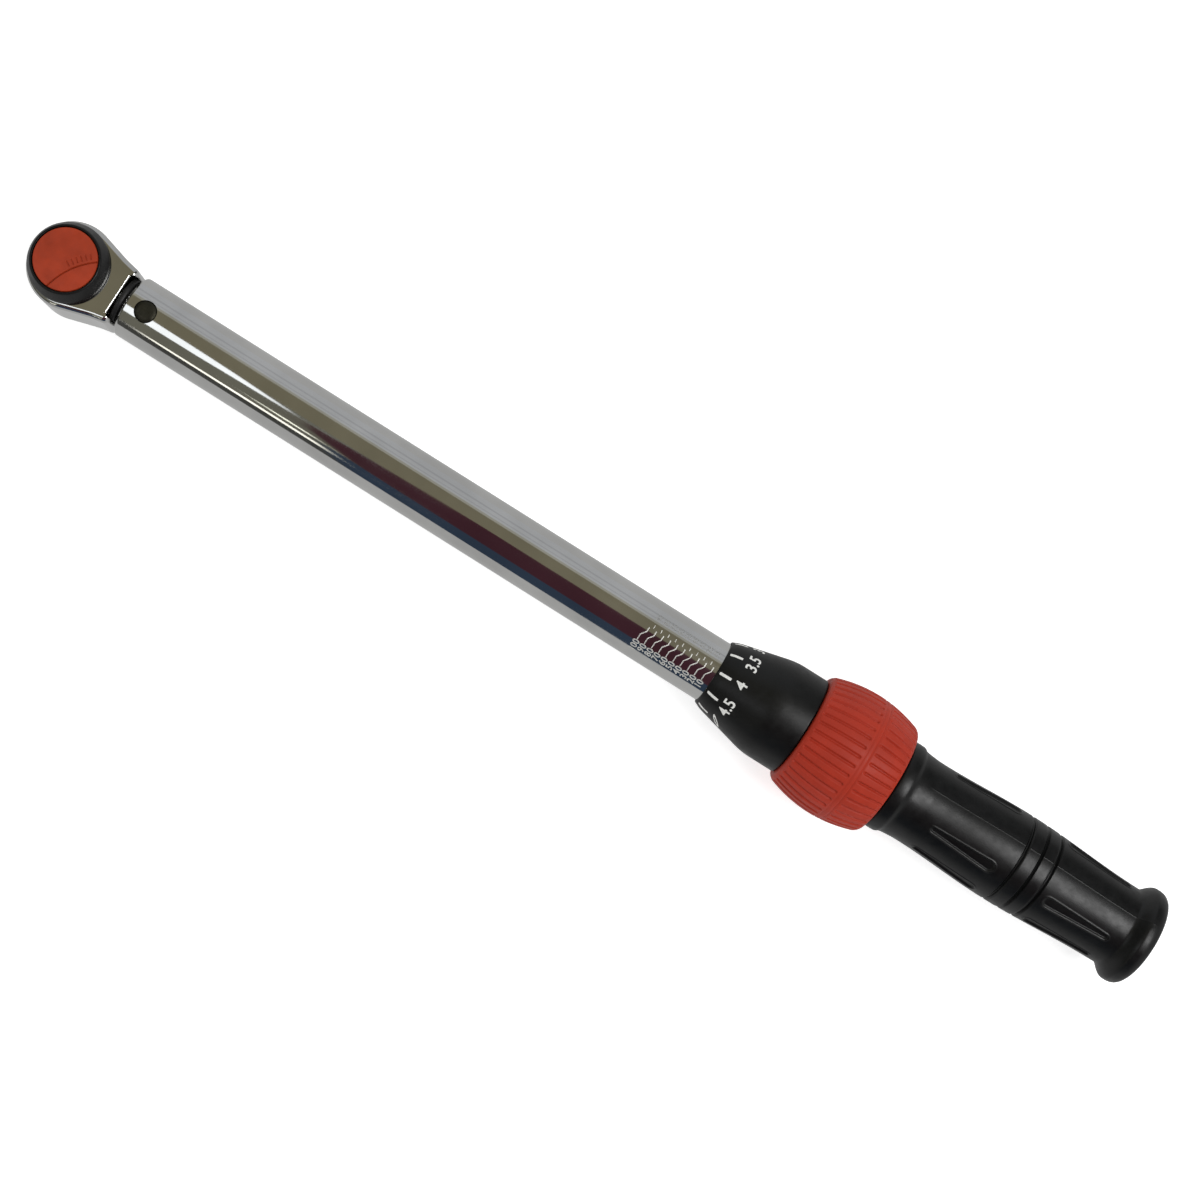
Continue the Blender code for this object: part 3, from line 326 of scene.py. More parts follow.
class Finish:
    """A node material under construction: one Principled shader, and the textures that feed it."""

    def __init__(self, name, colour, roughness, metallic=0.0, specular=0.5):
        self.made = bpy.data.materials.new(name)
        self.made.use_nodes = True
        self.nodes = self.made.node_tree.nodes
        self.links = self.made.node_tree.links
        self.shader = self.nodes["Principled BSDF"]
        self.colour = colour
        self.shader.inputs["Base Color"].default_value = (*colour, 1)
        self.shader.inputs["Roughness"].default_value = roughness
        self.shader.inputs["Metallic"].default_value = metallic
        self.shader.inputs["Specular IOR Level"].default_value = specular
        self.place = self.nodes.new("ShaderNodeTexCoord").outputs["Object"]
        self.bump = None

    def noise(self, size, detail=3.0, stretch=(1, 1, 1)):
        """Noise with features about size across, longer along an axis where stretch is above 1."""
        mapping = self.nodes.new("ShaderNodeMapping")
        mapping.inputs["Scale"].default_value = [1 / (size * s) for s in stretch]
        self.links.new(self.place, mapping.inputs["Vector"])
        texture = self.nodes.new("ShaderNodeTexNoise")
        texture.inputs["Scale"].default_value = 1.0
        texture.inputs["Detail"].default_value = detail
        self.links.new(mapping.outputs["Vector"], texture.inputs["Vector"])
        return texture.outputs["Fac"]

    def ranged(self, value, low, high, from_low=0.3, from_high=0.7):
        """A noise value mapped to a range of numbers."""
        node = self.nodes.new("ShaderNodeMapRange")
        node.inputs["From Min"].default_value = from_low
        node.inputs["From Max"].default_value = from_high
        node.inputs["To Min"].default_value = low
        node.inputs["To Max"].default_value = high
        self.links.new(value, node.inputs["Value"])
        return node.outputs["Result"]

    def rough(self, value, low, high):
        """Vary the roughness between two values."""
        self.links.new(self.ranged(value, low, high), self.shader.inputs["Roughness"])

    def tinted(self, value, darker, lighter, threshold=(0.35, 0.65)):
        """Vary the base colour between two multiples of itself."""
        ramp = self.nodes.new("ShaderNodeValToRGB")
        for stop, factor, position in zip(ramp.color_ramp.elements, (darker, lighter), threshold):
            stop.position = position
            stop.color = [*(channel * factor for channel in self.colour), 1]
        self.links.new(value, ramp.inputs["Fac"])
        self.links.new(ramp.outputs["Color"], self.shader.inputs["Base Color"])

    def bumped(self, value, depth, strength=1.0):
        """Add a height field of a real depth to the surface."""
        node = self.nodes.new("ShaderNodeBump")
        node.inputs["Strength"].default_value = strength
        node.inputs["Distance"].default_value = depth
        self.links.new(value, node.inputs["Height"])
        if self.bump:
            self.links.new(self.bump, node.inputs["Normal"])
        self.bump = node.outputs["Normal"]
        self.links.new(self.bump, self.shader.inputs["Normal"])


def polished_chrome(name, ripple):
    """Chrome plate: a mirror with faint smears, hairlines along the part, and a slow ripple."""
    finish = Finish(name, (0.63, 0.63, 0.615), 0.07, metallic=1.0)
    finish.tinted(finish.noise(14 * MM, 4), 0.93, 1.04)
    finish.rough(finish.noise(6 * MM, 5, (4, 1, 1)), 0.045, 0.11)
    finish.bumped(finish.noise(0.35 * MM, 2, (60, 1, 1)), 0.0006 * MM)
    finish.bumped(finish.noise(ripple, 1, (3, 1, 1)), 0.012 * MM)
    return finish.made


def satin_steel(name, colour, roughness, grain=(1, 1, 1)):
    """Machined or tumbled steel with fine tool marks."""
    finish = Finish(name, colour, roughness, metallic=1.0)
    finish.tinted(finish.noise(3 * MM, 5), 0.8, 1.1)
    finish.rough(finish.noise(0.6 * MM, 4, grain), roughness * 0.75, roughness * 1.3)
    finish.bumped(finish.noise(0.15 * MM, 3, grain), 0.004 * MM)
    return finish.made


def moulded_plastic(name, colour, roughness, grain_depth, specular=0.5, mottle=0.15):
    """Moulded plastic with a fine spark-eroded grain, faint flow marks and rubbed patches."""
    finish = Finish(name, colour, roughness, specular=specular)
    finish.tinted(finish.noise(7 * MM, 5), 1 - mottle, 1 + mottle)
    finish.rough(finish.noise(2.5 * MM, 6), roughness * 0.85, roughness * 1.18)
    finish.bumped(finish.noise(0.28 * MM, 3), grain_depth)
    finish.bumped(finish.noise(5 * MM, 2), 0.02 * MM)
    return finish.made


def moulded_rubber(name):
    """Black rubber, dull and slightly dusty."""
    finish = Finish(name, (0.008, 0.008, 0.008), 0.45, specular=0.4)
    finish.tinted(finish.noise(1.5 * MM, 5), 0.8, 1.5)
    finish.rough(finish.noise(1 * MM, 5), 0.4, 0.55)
    finish.bumped(finish.noise(0.25 * MM, 3), 0.01 * MM)
    return finish.made


def etched_line(name, colour, metallic):
    """The frosted floor of lines etched through the polish."""
    finish = Finish(name, colour, 0.55, metallic=metallic)
    finish.tinted(finish.noise(0.5 * MM, 4), 0.75, 1.1)
    finish.rough(finish.noise(0.2 * MM, 3), 0.45, 0.7)
    finish.bumped(finish.noise(0.08 * MM, 2), 0.004 * MM)
    return finish.made


def printed_white(name):
    """White ink with a slightly uneven edge and face."""
    finish = Finish(name, (0.74, 0.74, 0.71), 0.5)
    finish.tinted(finish.noise(0.4 * MM, 5), 0.8, 1.04)
    finish.rough(finish.noise(0.3 * MM, 3), 0.42, 0.6)
    finish.bumped(finish.noise(0.1 * MM, 3), 0.004 * MM)
    return finish.made


def make_finishes():
    """Every finish, by the name of the slot that takes it."""
    near_black = (0.005, 0.005, 0.005)
    turned_grain = (1, 6, 6)
    return {
        "chrome_tube": polished_chrome("chrome_tube_finish", 24 * MM),
        "chrome_head": polished_chrome("chrome_head_finish", 9 * MM),
        "drive_steel": satin_steel("drive_steel_finish", (0.55, 0.55, 0.54), 0.24),
        "black_steel": satin_steel("black_steel_finish", (0.05, 0.048, 0.036), 0.5),
        "inner_steel": satin_steel("inner_steel_finish", (0.42, 0.42, 0.41), 0.35, turned_grain),
        "spring_steel": satin_steel("spring_steel_finish", (0.2, 0.2, 0.21), 0.33),
        "brass": satin_steel("brass_finish", (0.55, 0.38, 0.14), 0.33, turned_grain),
        "seal_rubber": moulded_rubber("seal_rubber_finish"),
        "dial_black": moulded_plastic("dial_black_finish", near_black, 0.36, 0.006 * MM, 0.24),
        "dial_red": moulded_plastic(
            "dial_red_finish", (0.345, 0.038, 0.0115), 0.42, 0.006 * MM, 0.22
        ),
        "thimble_black": moulded_plastic(
            "thimble_black_finish", (0.004, 0.0042, 0.004), 0.38, 0.01 * MM, 0.3
        ),
        "collar_red": moulded_plastic(
            "collar_red_finish", (0.35, 0.025, 0.009), 0.5, 0.012 * MM, 0.22, mottle=0.06
        ),
        "grip_black": moulded_plastic(
            "grip_black_finish", (0.003, 0.0032, 0.0032), 0.36, 0.005 * MM, 0.34
        ),
        "cap_black": moulded_plastic("cap_black_finish", near_black, 0.42, 0.01 * MM, 0.25),
        "scale_etch": etched_line("scale_etch_finish", (0.72, 0.72, 0.68), 0.55),
        "faint_etch": etched_line("faint_etch_finish", (0.5, 0.5, 0.48), 0.95),
        "mark_white": printed_white("mark_white_finish"),
    }


def finish_cad_nodes(finishes):
    """Give every carried-over CAD node the finish of its own material slot."""
    for subpart in frame["record"]["subparts"]:
        node = frame["nodes"].get(subpart["node"])
        if node:
            node.data.materials.clear()
            node.data.materials.append(finishes[subpart["material_slot"]])


# ---------------------------------------------------------------- head


def head_outline():
    """The head from above: a round front, tapering sides, and a square-shouldered rear."""
    corner = 2.1 * MM
    shoulder = (HEAD_REAR_X - corner, 10.05 * MM)
    half = arc((HEAD_CENTRE_X, 0), HEAD_RADIUS, 180, 73, 44)
    half += rounded([half[-1], (14.6 * MM, 10.6 * MM), shoulder], 3 * MM, 8)[1:-1]
    half += arc((shoulder[0], 7.9 * MM), corner, 88, 0, 9)
    return half + [(x, -y) for x, y in reversed(half[1:])]


def rounded_plate(outline, half_height, edge):
    """A flat plate with an outline's shape and its upper and lower edges rounded."""
    shape = extruded(outline, -half_height, half_height)
    rims = [e for e in shape.edges if len({v.co.z > 0 for v in e.verts}) == 1]
    bmesh.ops.bevel(
        shape, geom=rims, offset=edge, segments=7, profile=0.5, affect="EDGES", clamp_overlap=False
    )
    return as_mesh(shape)


def lever_outline():
    """Half of the lever's profile: the neck, the swell round the pivot pin, and the long rear part."""
    return in_metres([
        (15.2, 0), (15.2, 7.2), (21.5, 7.2), (23.5, 8.2), (32.5, 8.2), (35.5, 6.2), (85.2, 6.2), (85.2, 0),
    ])


def gear_bore_outline():
    """Half of the bore's profile, from the opening on top to the groove for the snap ring."""
    top = 11.4 * MM
    steps = in_metres([
        (1.5, 11.4), (1.5, 9), (-7.1, 9), (-7.1, 7.2), (-9.45, 7.2), (-9.9, 7.65),
    ])
    return [(FAR, 0), (FAR, top), *steps, (-FAR, 7.65 * MM), (-FAR, 0)]


def make_head(finishes):
    """The forged head with its slot for the seal, the neck, and the lever inside the tube."""
    head = rounded_plate(head_outline(), HEAD_HALF_HEIGHT, 1.9 * MM)
    side = SEAL_SLOT_HALF_WIDTH
    slot = rounded([(FAR, -side), (SEAL_SLOT_X, -side), (SEAL_SLOT_X, side), (FAR, side)], 1.2 * MM)
    for cutter in (as_mesh(extruded(slot, -FAR, FAR)), slot_edge_cutter(1), slot_edge_cutter(-1)):
        head = boolean(head, cutter, "DIFFERENCE")
    head = boolean(head, turned(lever_outline(), 48), "UNION")
    cutters = [
        turned(gear_bore_outline(), 96, axis="Z"),
        box_mesh((6 * MM, -8.7 * MM, -4.8 * MM), (14.8 * MM, 8.7 * MM, 2 * MM)),  # the pawl's pocket
        moved(rod(-7.1 * MM, 5 * MM, 1.55 * MM, 24), (PAWL_PIN_X, 0, 0)),
        moved(rod(-FAR, FAR, PIN_RADIUS + 0.3 * MM, 48), (PIVOT_X, 0, 0)),
    ]
    for cutter in cutters:
        head = boolean(head, cutter, "DIFFERENCE")
    block_socket = box_mesh((83.8 * MM, -3.2 * MM, -4.3 * MM), (90 * MM, 3.2 * MM, 4.3 * MM))
    head = boolean(head, block_socket, "DIFFERENCE", 28)
    piece = add_piece("head_casting", head, "head", finishes, "chrome_head", "ratchet_head")
    weighted = piece.modifiers.new("even shading", "WEIGHTED_NORMAL")
    weighted.keep_sharp = True


def slot_edge_cutter(way):
    """What rounds over the edge where the slot meets the head's upper or lower face."""
    radius = 0.55 * MM
    past = 3 * MM
    side = SEAL_SLOT_HALF_WIDTH - 0.9 * MM
    centre = (SEAL_SLOT_X - radius, HEAD_HALF_HEIGHT - radius)
    outline = arc(centre, radius, 90, 0, 8)
    outline += [(SEAL_SLOT_X + past, centre[1]), (SEAL_SLOT_X + past, past + centre[1])]
    outline.append((centre[0], past + centre[1]))
    mesh = as_mesh(extruded(outline, -side, side))
    mesh.transform(Matrix.Rotation(way * math.pi / 2, 4, "X"))
    return mesh


def make_seal(finishes):
    """The rubber bead between the head and the tube, with flat sides."""
    outline = in_metres([
        (18.2, 7.5), (18.2, 8.6), (18.5, 9.2), (19.2, 9.25), (20.0, 9.0), (20.3, 8.4), (20.3, 7.5),
    ])
    mesh = turned(rounded(outline, 0.6 * MM, 5), 128)
    side = SEAL_SLOT_HALF_WIDTH - 0.3 * MM
    for corner in mesh.vertices:
        corner.co.y = max(-side, min(side, corner.co.y))
    add_piece("seal_ring", mesh, "head", finishes, "seal_rubber", "dust_seal")


def make_dial(finishes):
    """The direction dial: a black ring with a fine step, and the red disc set into it."""
    outline = [
        (4.72, 1.8), (4.72, 9.0), (10.1, 9.0), (10.1, 12.8), (11.5, 12.8), (15.7, 11.1), (16.1, 10.75),
        (16.1, 10.3), (14.0, 10.3), (14.0, 3.5), (11.4, 3.5), (11.4, 1.8),
    ]
    radii = {3: 0.3, 4: 1.2, 5: 0.5, 6: 0.25}
    shaped = in_metres([(z, r, radii.get(i, 0.15)) for i, (z, r) in enumerate(outline)])
    mesh = turned(rounded(shaped, 0.2 * MM, 5), 128, axis="Z")
    add_piece("dial_body", mesh, "dial", finishes, "dial_black", "dial_ring")
    add_piece("dial_disc", dial_disc(), "dial", finishes, "dial_red", "dial_cap")


def disc_relief(x, y):
    """How far the disc's face is sunk: an arc across it, a step beside the arc, and six strokes."""
    arc_centre = Vector((24.2 * MM, -15.2 * MM))
    arc_radius = 25.0 * MM
    groove_depth, step_depth, stroke_depth = 0.6 * MM, 0.1 * MM, 0.3 * MM
    offset = Vector((x, y)) - arc_centre
    away = offset.length - arc_radius
    sunk = groove_depth * (1 - smooth_step(abs(away), 0.06 * MM, 0.28 * MM))
    sunk += step_depth * (1 - smooth_step(away, -0.1 * MM, 0.1 * MM))
    turn = math.degrees(math.atan2(offset.y, offset.x))
    first, last, strokes = 132.0, 147.5, 6
    pitch = (last - first) / (strokes - 1)
    nearest = first + pitch * min(max(round((turn - first) / pitch), 0), strokes - 1)
    beside = abs(math.radians(turn - nearest)) * offset.length
    beyond = abs(away - 1.9 * MM) - 0.8 * MM
    return sunk + stroke_depth * (1 - smooth_step(max(beside - 0.1 * MM, beyond), 0, 0.15 * MM))


def dial_disc():
    """The red disc: slightly crowned, with its relief moulded in."""
    crown = 0.22 * MM
    sides = 320
    steps = 100
    turns = [FULL_TURN * side / sides for side in range(sides)]

    def surface(x, y):
        share = math.hypot(x, y) / DISC_RADIUS
        return DISC_HIGH + crown * (1 - share * share) - disc_relief(x, y)

    shape = bmesh.new()
    rings = []
    for step in range(1, steps - 1):
        r = DISC_RADIUS * step / steps
        places = [(r * math.cos(turn), r * math.sin(turn)) for turn in turns]
        rings.append([shape.verts.new((x, y, surface(x, y))) for x, y in places])
    rim = (
        (DISC_RADIUS - 0.12 * MM, DISC_HIGH - 0.05 * MM), (DISC_RADIUS, DISC_HIGH - 0.3 * MM),
        (DISC_RADIUS, DISC_LOW),
    )
    for r, z in rim:
        rings.append([shape.verts.new((r * math.cos(turn), r * math.sin(turn), z)) for turn in turns])
    bridge(shape, rings)
    fan(shape, rings[0], (0, 0, surface(0, 0)))
    shape.faces.new(rings[-1])
    return as_mesh(shape, 50)


def make_pivot_pin(finishes):
    """The pin through tube and head: its ends follow the tube's surface."""
    flush = TUBE_RADIUS - 0.04 * MM
    chamfer = 0.3 * MM
    rims = [(0.25 * PIN_RADIUS, 0), (0.6 * PIN_RADIUS, 0)]
    rims += [(PIN_RADIUS - chamfer, 0), (PIN_RADIUS, chamfer)]
    shape = bmesh.new()
    rings = [pin_ring(shape, radius, flush, drop, 1) for radius, drop in rims]
    rings += [pin_ring(shape, radius, flush, drop, -1) for radius, drop in reversed(rims)]
    bridge(shape, rings)
    fan(shape, rings[0], (0, 0, flush))
    fan(shape, rings[-1], (0, 0, -flush))
    mesh = moved(as_mesh(shape, 50), (PIVOT_X, 0, 0))
    add_piece("pivot_pin_ground", mesh, "tube", finishes, "black_steel", "pivot_pin")


def pin_ring(shape, radius, flush, drop, way):
    """A ring of the pin's upper or lower end face, lying on the tube's own curve."""
    sides = 64
    ring = []
    for side in range(sides):
        angle = FULL_TURN * side / sides
        y = radius * math.sin(angle)
        z = math.sqrt(flush ** 2 - y * y) - drop
        ring.append(shape.verts.new((radius * math.cos(angle), y, way * z)))
    return ring


def make_socket_ball(finishes):
    """The ball in the square's side."""
    low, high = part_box("socket_ball")
    centre = Vector(((low.x + high.x) / 2, 0, (low.z + high.z) / 2 - AXIS))
    shape = bmesh.new()
    bmesh.ops.create_uvsphere(shape, u_segments=40, v_segments=24, radius=BALL_RADIUS)
    mesh = moved(as_mesh(shape, 80), centre)
    add_piece("socket_ball_ground", mesh, "socket_ball", finishes, "drive_steel", "socket_ball")


# ---------------------------------------------------------------- tube and its scale


def make_tube(finishes):
    """The chromed tube with its rolled front edge and the pivot pin's hole."""
    front, rear = TUBE_LOW.x, TUBE_HIGH.x
    stations = (36 * MM, 0.2)  # extra rings, behind the pin's hole and near the rear
    bore = 8.8 * MM
    lip = 1.2 * MM
    edge = [(front + lip - x, TUBE_RADIUS - lip + r) for r, x in arc((0, 0), lip, 0, 90, 8)]
    outline = list(reversed(edge)) + [(x, TUBE_RADIUS) for x in (*stations, rear)]
    outline += [(x, bore) for x in (rear, *reversed(stations), front + 0.6 * MM)]
    outline.append((front, bore + 0.4 * MM))
    mesh = turned(outline, 160)
    far = 2 * TUBE_RADIUS
    pin_hole = moved(rod(-far, far, PIN_RADIUS + 0.12 * MM, 64), (PIVOT_X, 0, 0))
    mesh = boolean(mesh, pin_hole, "DIFFERENCE")
    rounded_normals(mesh, front + lip, rear)
    add_piece("tube_body", mesh, "tube", finishes, "chrome_tube", "tube")


def rounded_normals(mesh, front, rear):
    """Shade the outside as a true cylinder, however the hole has cut its faces up."""
    normals = [corner.vector.copy() for corner in mesh.corner_normals]
    for face in mesh.polygons:
        middle = face.center
        outward = Vector((0, middle.y, middle.z))
        if outward.length > 0.97 * TUBE_RADIUS and abs(face.normal.x) < 0.1 and front < middle.x < rear:
            for loop in face.loop_indices:
                place = mesh.vertices[mesh.loops[loop].vertex_index].co
                normals[loop] = Vector((0, place.y, place.z)).normalized()
    mesh.normals_split_custom_set(normals)


def wrapped(shape, radius_at, thick):
    """Wrap a flat closed shape, drawn as (along, around, up), onto a round surface.

    around is a distance on the surface towards -Y, and up runs from just under the surface to
    thick above it.
    """
    for corner in shape.verts:
        along, around, up = corner.co
        radius = radius_at(along)
        angle = around / radius
        height = radius + (thick if up > 0 else -0.15 * MM)
        corner.co = (along, -height * math.sin(angle), height * math.cos(angle))
    return as_mesh(shape, 60)


def sliced(shape, start, end, step):
    """Cut a flat shape across into strips so that it can bend."""
    cuts = int((end - start) / step)
    for number in range(1, cuts + 1):
        bmesh.ops.bisect_plane(
            shape, geom=shape.verts[:] + shape.edges[:] + shape.faces[:],
            plane_co=(0, start + number * step, 0), plane_no=(0, 1, 0),
        )


def glyphs(text, height, bold):
    """The outline of a number as a flat closed slab, centred, its letters' tops towards +Y."""
    curve = bpy.data.curves.new("number", "FONT")
    curve.body = text
    curve.size = height / 0.7  # the built-in font's digits are 0.7 of its size
    curve.align_x = "CENTER"
    curve.resolution_u = 3
    curve.offset = bold * height
    curve.space_character = 1.05
    holder = bpy.data.objects.new("number", curve)
    bpy.context.scene.collection.objects.link(holder)
    flat = bpy.data.meshes.new_from_object(holder.evaluated_get(bpy.context.evaluated_depsgraph_get()))
    bpy.data.objects.remove(holder)
    shape = bmesh.new()
    shape.from_mesh(flat)
    bmesh.ops.remove_doubles(shape, verts=shape.verts, dist=0.004 * MM)
    return shape


def thickened(shape):
    """Give a flat shape an underside and walls."""
    raised = bmesh.ops.extrude_face_region(shape, geom=shape.faces[:])["geom"]
    corners = [item for item in raised if isinstance(item, bmesh.types.BMVert)]
    bmesh.ops.translate(shape, verts=corners, vec=(0, 0, 1))
    return shape


def number_on(text, height, along, angle, radius_at, thick, width=1.0, bold=0.0):
    """A number on the round surface: its tops point to the head, and it reads towards +Y."""
    shape = glyphs(text, height, bold)
    radius = radius_at(along)
    for corner in shape.verts:
        x, y, _ = corner.co
        corner.co = (along + height / 2 - y, angle * radius - x * width, 0)
    around = [v.co.y for v in shape.verts]
    sliced(shape, min(around), max(around), 0.35 * MM)
    return wrapped(thickened(shape), radius_at, thick)


def band_on(path, width, radius_at, thick):
    """A line of even width along a path of (along, angle) points on the round surface."""
    points = [Vector((along, angle * radius_at(along))) for along, angle in path]
    fine = [points[0]]
    for one, other in zip(points, points[1:]):
        steps = max(1, round((other - one).length / (0.4 * MM)))
        fine += [one.lerp(other, (i + 1) / steps) for i in range(steps)]
    shape = bmesh.new()
    pairs = []
    for i, point in enumerate(fine):
        direction = (fine[min(i + 1, len(fine) - 1)] - fine[max(i - 1, 0)]).normalized()
        side = Vector((-direction.y, direction.x)) * width / 2
        pairs.append([shape.verts.new((*(point + side), 0)), shape.verts.new((*(point - side), 0))])
    for one, other in zip(pairs, pairs[1:]):
        shape.faces.new((one[0], one[1], other[1], other[0]))
    return wrapped(thickened(shape), radius_at, thick)


def joined(meshes):
    """Several separate closed meshes as one."""
    shape = bmesh.new()
    for mesh in meshes:
        shape.from_mesh(mesh)
    made = bpy.data.meshes.new("mesh")
    shape.to_mesh(made)
    shape.free()
    made.shade_smooth()
    made.set_sharp_from_angle(angle=math.radians(60))
    return made


def make_scale(finishes):
    """The etched scale: kinked lines for 10 to 100 with their numbers, and finer ones for 15 to 95."""
    thick = 0.012 * MM

    def radius_at(_):
        return TUBE_RADIUS

    kink = 1.25 * MM
    turns = [math.radians(angle) for angle in (-2, 6.5, 16, 27.5)]
    number_angle, hundred_shift = 36.8, 3.5
    lines = []
    numbers = []
    faint = []
    for ten in range(SCALE_TENS):
        x = SCALE_TEN_X - ten * SCALE_PITCH
        path = list(zip((x, x, x - kink, x - kink), turns))
        lines.append(band_on(path, 0.33 * MM, radius_at, thick))
        text = str(10 * (ten + 1))
        place = math.radians(number_angle + (hundred_shift if len(text) > 2 else 0))
        numbers.append(number_on(text, 2.25 * MM, x - kink, place, radius_at, thick, 0.9, 0.03))
    for five in range(SCALE_TENS - 1):
        x = SCALE_TEN_X - (five + 0.5) * SCALE_PITCH
        path = [(x, math.radians(-9.5)), (x, math.radians(-3.5))]
        lines.append(band_on(path, 0.22 * MM, radius_at, thick))
        text = str(10 * five + 15)
        faint.append(number_on(text, 1.9 * MM, x, math.radians(-26), radius_at, thick, 0.85))
    add_piece("scale_lines", joined(lines), "tube", finishes, "scale_etch")
    add_piece("scale_numbers", joined(numbers), "tube", finishes, "scale_etch")
    add_piece("scale_half_numbers", joined(faint), "tube", finishes, "scale_etch", finish="faint_etch")


# ---------------------------------------------------------------- thimble, collar and grip


def straight_between(start, end, along):
    """The radius on the straight line between two (x, radius) points."""
    return start[1] + (along - start[0]) * (end[1] - start[1]) / (end[0] - start[0])


def make_thimble(finishes):
    """The black cone, and the lines and numbers printed on it."""
    inner = 10.6 * MM
    step_x = 257.7 * MM
    rear_radius = THIMBLE_SHOULDER[1]
    outline = [(THIMBLE_EDGE[0], inner), THIMBLE_EDGE, THIMBLE_LIP, THIMBLE_SHOULDER]
    outline += [(THIMBLE_REAR_X, rear_radius), (THIMBLE_REAR_X, HANDLE_BORE)]
    outline += [(step_x, HANDLE_BORE), (step_x, inner)]
    radii = {1: 0.3, 2: 1.6, 3: 3.0, 4: 0.5}
    points = [(*point, radii.get(i, 0.1) * MM) for i, point in enumerate(outline)]
    closed = rounded(points + [points[0]], 0.1 * MM, 8)[:-1]
    add_piece("thimble_body", turned(closed, 128), "grip", finishes, "thimble_black", "thimble")
    thick = 0.02 * MM
    line_start, line_end = THIMBLE_FRONT + 0.8 * MM, THIMBLE_FRONT + 4.8 * MM
    middle = THIMBLE_FRONT + 8.2 * MM
    marks = []
    for number in range(10):
        place = THIMBLE_ZERO + (number - 8) * THIMBLE_STEP
        marks.append(line_on_cone(line_start, line_end, place, 0.9 * MM, thick))
        text = str(number // 2) + (".5" if number % 2 else "")
        marks.append(number_on(text, 3.6 * MM, middle, place, thimble_surface, thick, 0.95, 0.025))
    add_piece("thimble_marks", joined(marks), "grip", finishes, "mark_white")


def thimble_surface(along):
    """The cone's radius, with the short steeper lip in front."""
    blend = smooth_step(along, 238.2 * MM, 240.2 * MM)
    lip = straight_between(THIMBLE_EDGE, THIMBLE_LIP, along)
    cone = straight_between(THIMBLE_LIP, THIMBLE_SHOULDER, along)
    return lip + (cone - lip) * blend


def line_on_cone(start, end, angle, width, thick):
    """A straight line along the cone, slightly narrower at its ends."""
    steps = 8
    stations = [start + (end - start) * i / steps for i in range(steps + 1)]
    shape = bmesh.new()
    rows = []
    for along in stations:
        middle = angle * thimble_surface(along)
        cut = 0.85 if along in (start, end) else 1.0
        half = cut * width / 2
        rows.append([shape.verts.new((along, middle + way * half, 0)) for way in (1, 0, -1)])
    for one, other in zip(rows, rows[1:]):
        for side in range(2):
            shape.faces.new((one[side], one[side + 1], other[side + 1], other[side]))
    return wrapped(thickened(shape), thimble_surface, thick)


def collar_radius(along):
    """The collar's barrel shape."""
    middle = (COLLAR_FRONT + COLLAR_REAR) / 2
    half = (COLLAR_REAR - COLLAR_FRONT) / 2
    return COLLAR_RADIUS - COLLAR_CROWN * ((along - middle) / half) ** 2


def collar_relief(along, angle):
    """Two bands of shallow grooves with a raised ring between them."""
    pitch = FULL_TURN / COLLAR_GROOVES
    across = ((angle + pitch / 2) % pitch - pitch / 2) * collar_radius(along)
    grooves = ((270.8 * MM, 15.2 * MM, 0.55 * MM), (290.2 * MM, 9.4 * MM, 0.5 * MM))
    lift = 0.0
    for start, length, half_width in grooves:
        away = slot_distance(along - start, across, length, half_width, half_width)
        lift -= 0.6 * MM * (1 - smooth_step(away, -0.35 * MM, 0.12 * MM))
    ring = abs(along - 288.2 * MM)
    lift -= 0.28 * MM * (1 - smooth_step(abs(ring - 0.85 * MM), 0.0, 0.3 * MM))
    return lift


def make_collar(finishes):
    """The red collar with its rounded ends, hollow from behind for its spring."""
    bore = 16.0 * MM
    wall = 272 * MM  # the spring's space starts behind it
    end_radius = COLLAR_RADIUS - COLLAR_CROWN
    edge = [(0, end_radius - 1.2 * MM), (0.12 * MM, end_radius - 0.6 * MM)]
    inset = 0.45 * MM
    steps = 108
    outline = [(COLLAR_FRONT, HANDLE_BORE)]
    outline += [(COLLAR_FRONT + depth, radius) for depth, radius in edge]
    for i in range(steps + 1):
        x = COLLAR_FRONT + inset + (COLLAR_REAR - COLLAR_FRONT - 2 * inset) * i / steps
        from_end = min(x - COLLAR_FRONT, COLLAR_REAR - x)
        soft = 0.35 * MM * (1 - smooth_step(from_end, 0.4 * MM, 1.4 * MM))
        outline.append((x, collar_radius(x) - soft, True))
    outline += [(COLLAR_REAR - depth, radius) for depth, radius in reversed(edge)]
    outline += [(COLLAR_REAR, bore), (wall, bore), (wall, HANDLE_BORE)]
    mesh = turned(outline, 720, collar_relief, sharp=50)
    add_piece("collar_body", mesh, "collar", finishes, "collar_red", "lock_collar")


def grip_radius(along):
    """The grip's outside, eased from one station to the next."""
    stations = [(313, 14.0), (345, 15.1), (385.6, 13.4), (390.6, 16.45)]
    x = along / MM
    for (x0, r0), (x1, r1) in zip(stations, stations[1:]):
        if x <= x1:
            share = max(0.0, (x - x0) / (x1 - x0))
            return (r0 + (r1 - r0) * (1 - math.cos(math.pi * share)) / 2) * MM
    return stations[-1][1] * MM


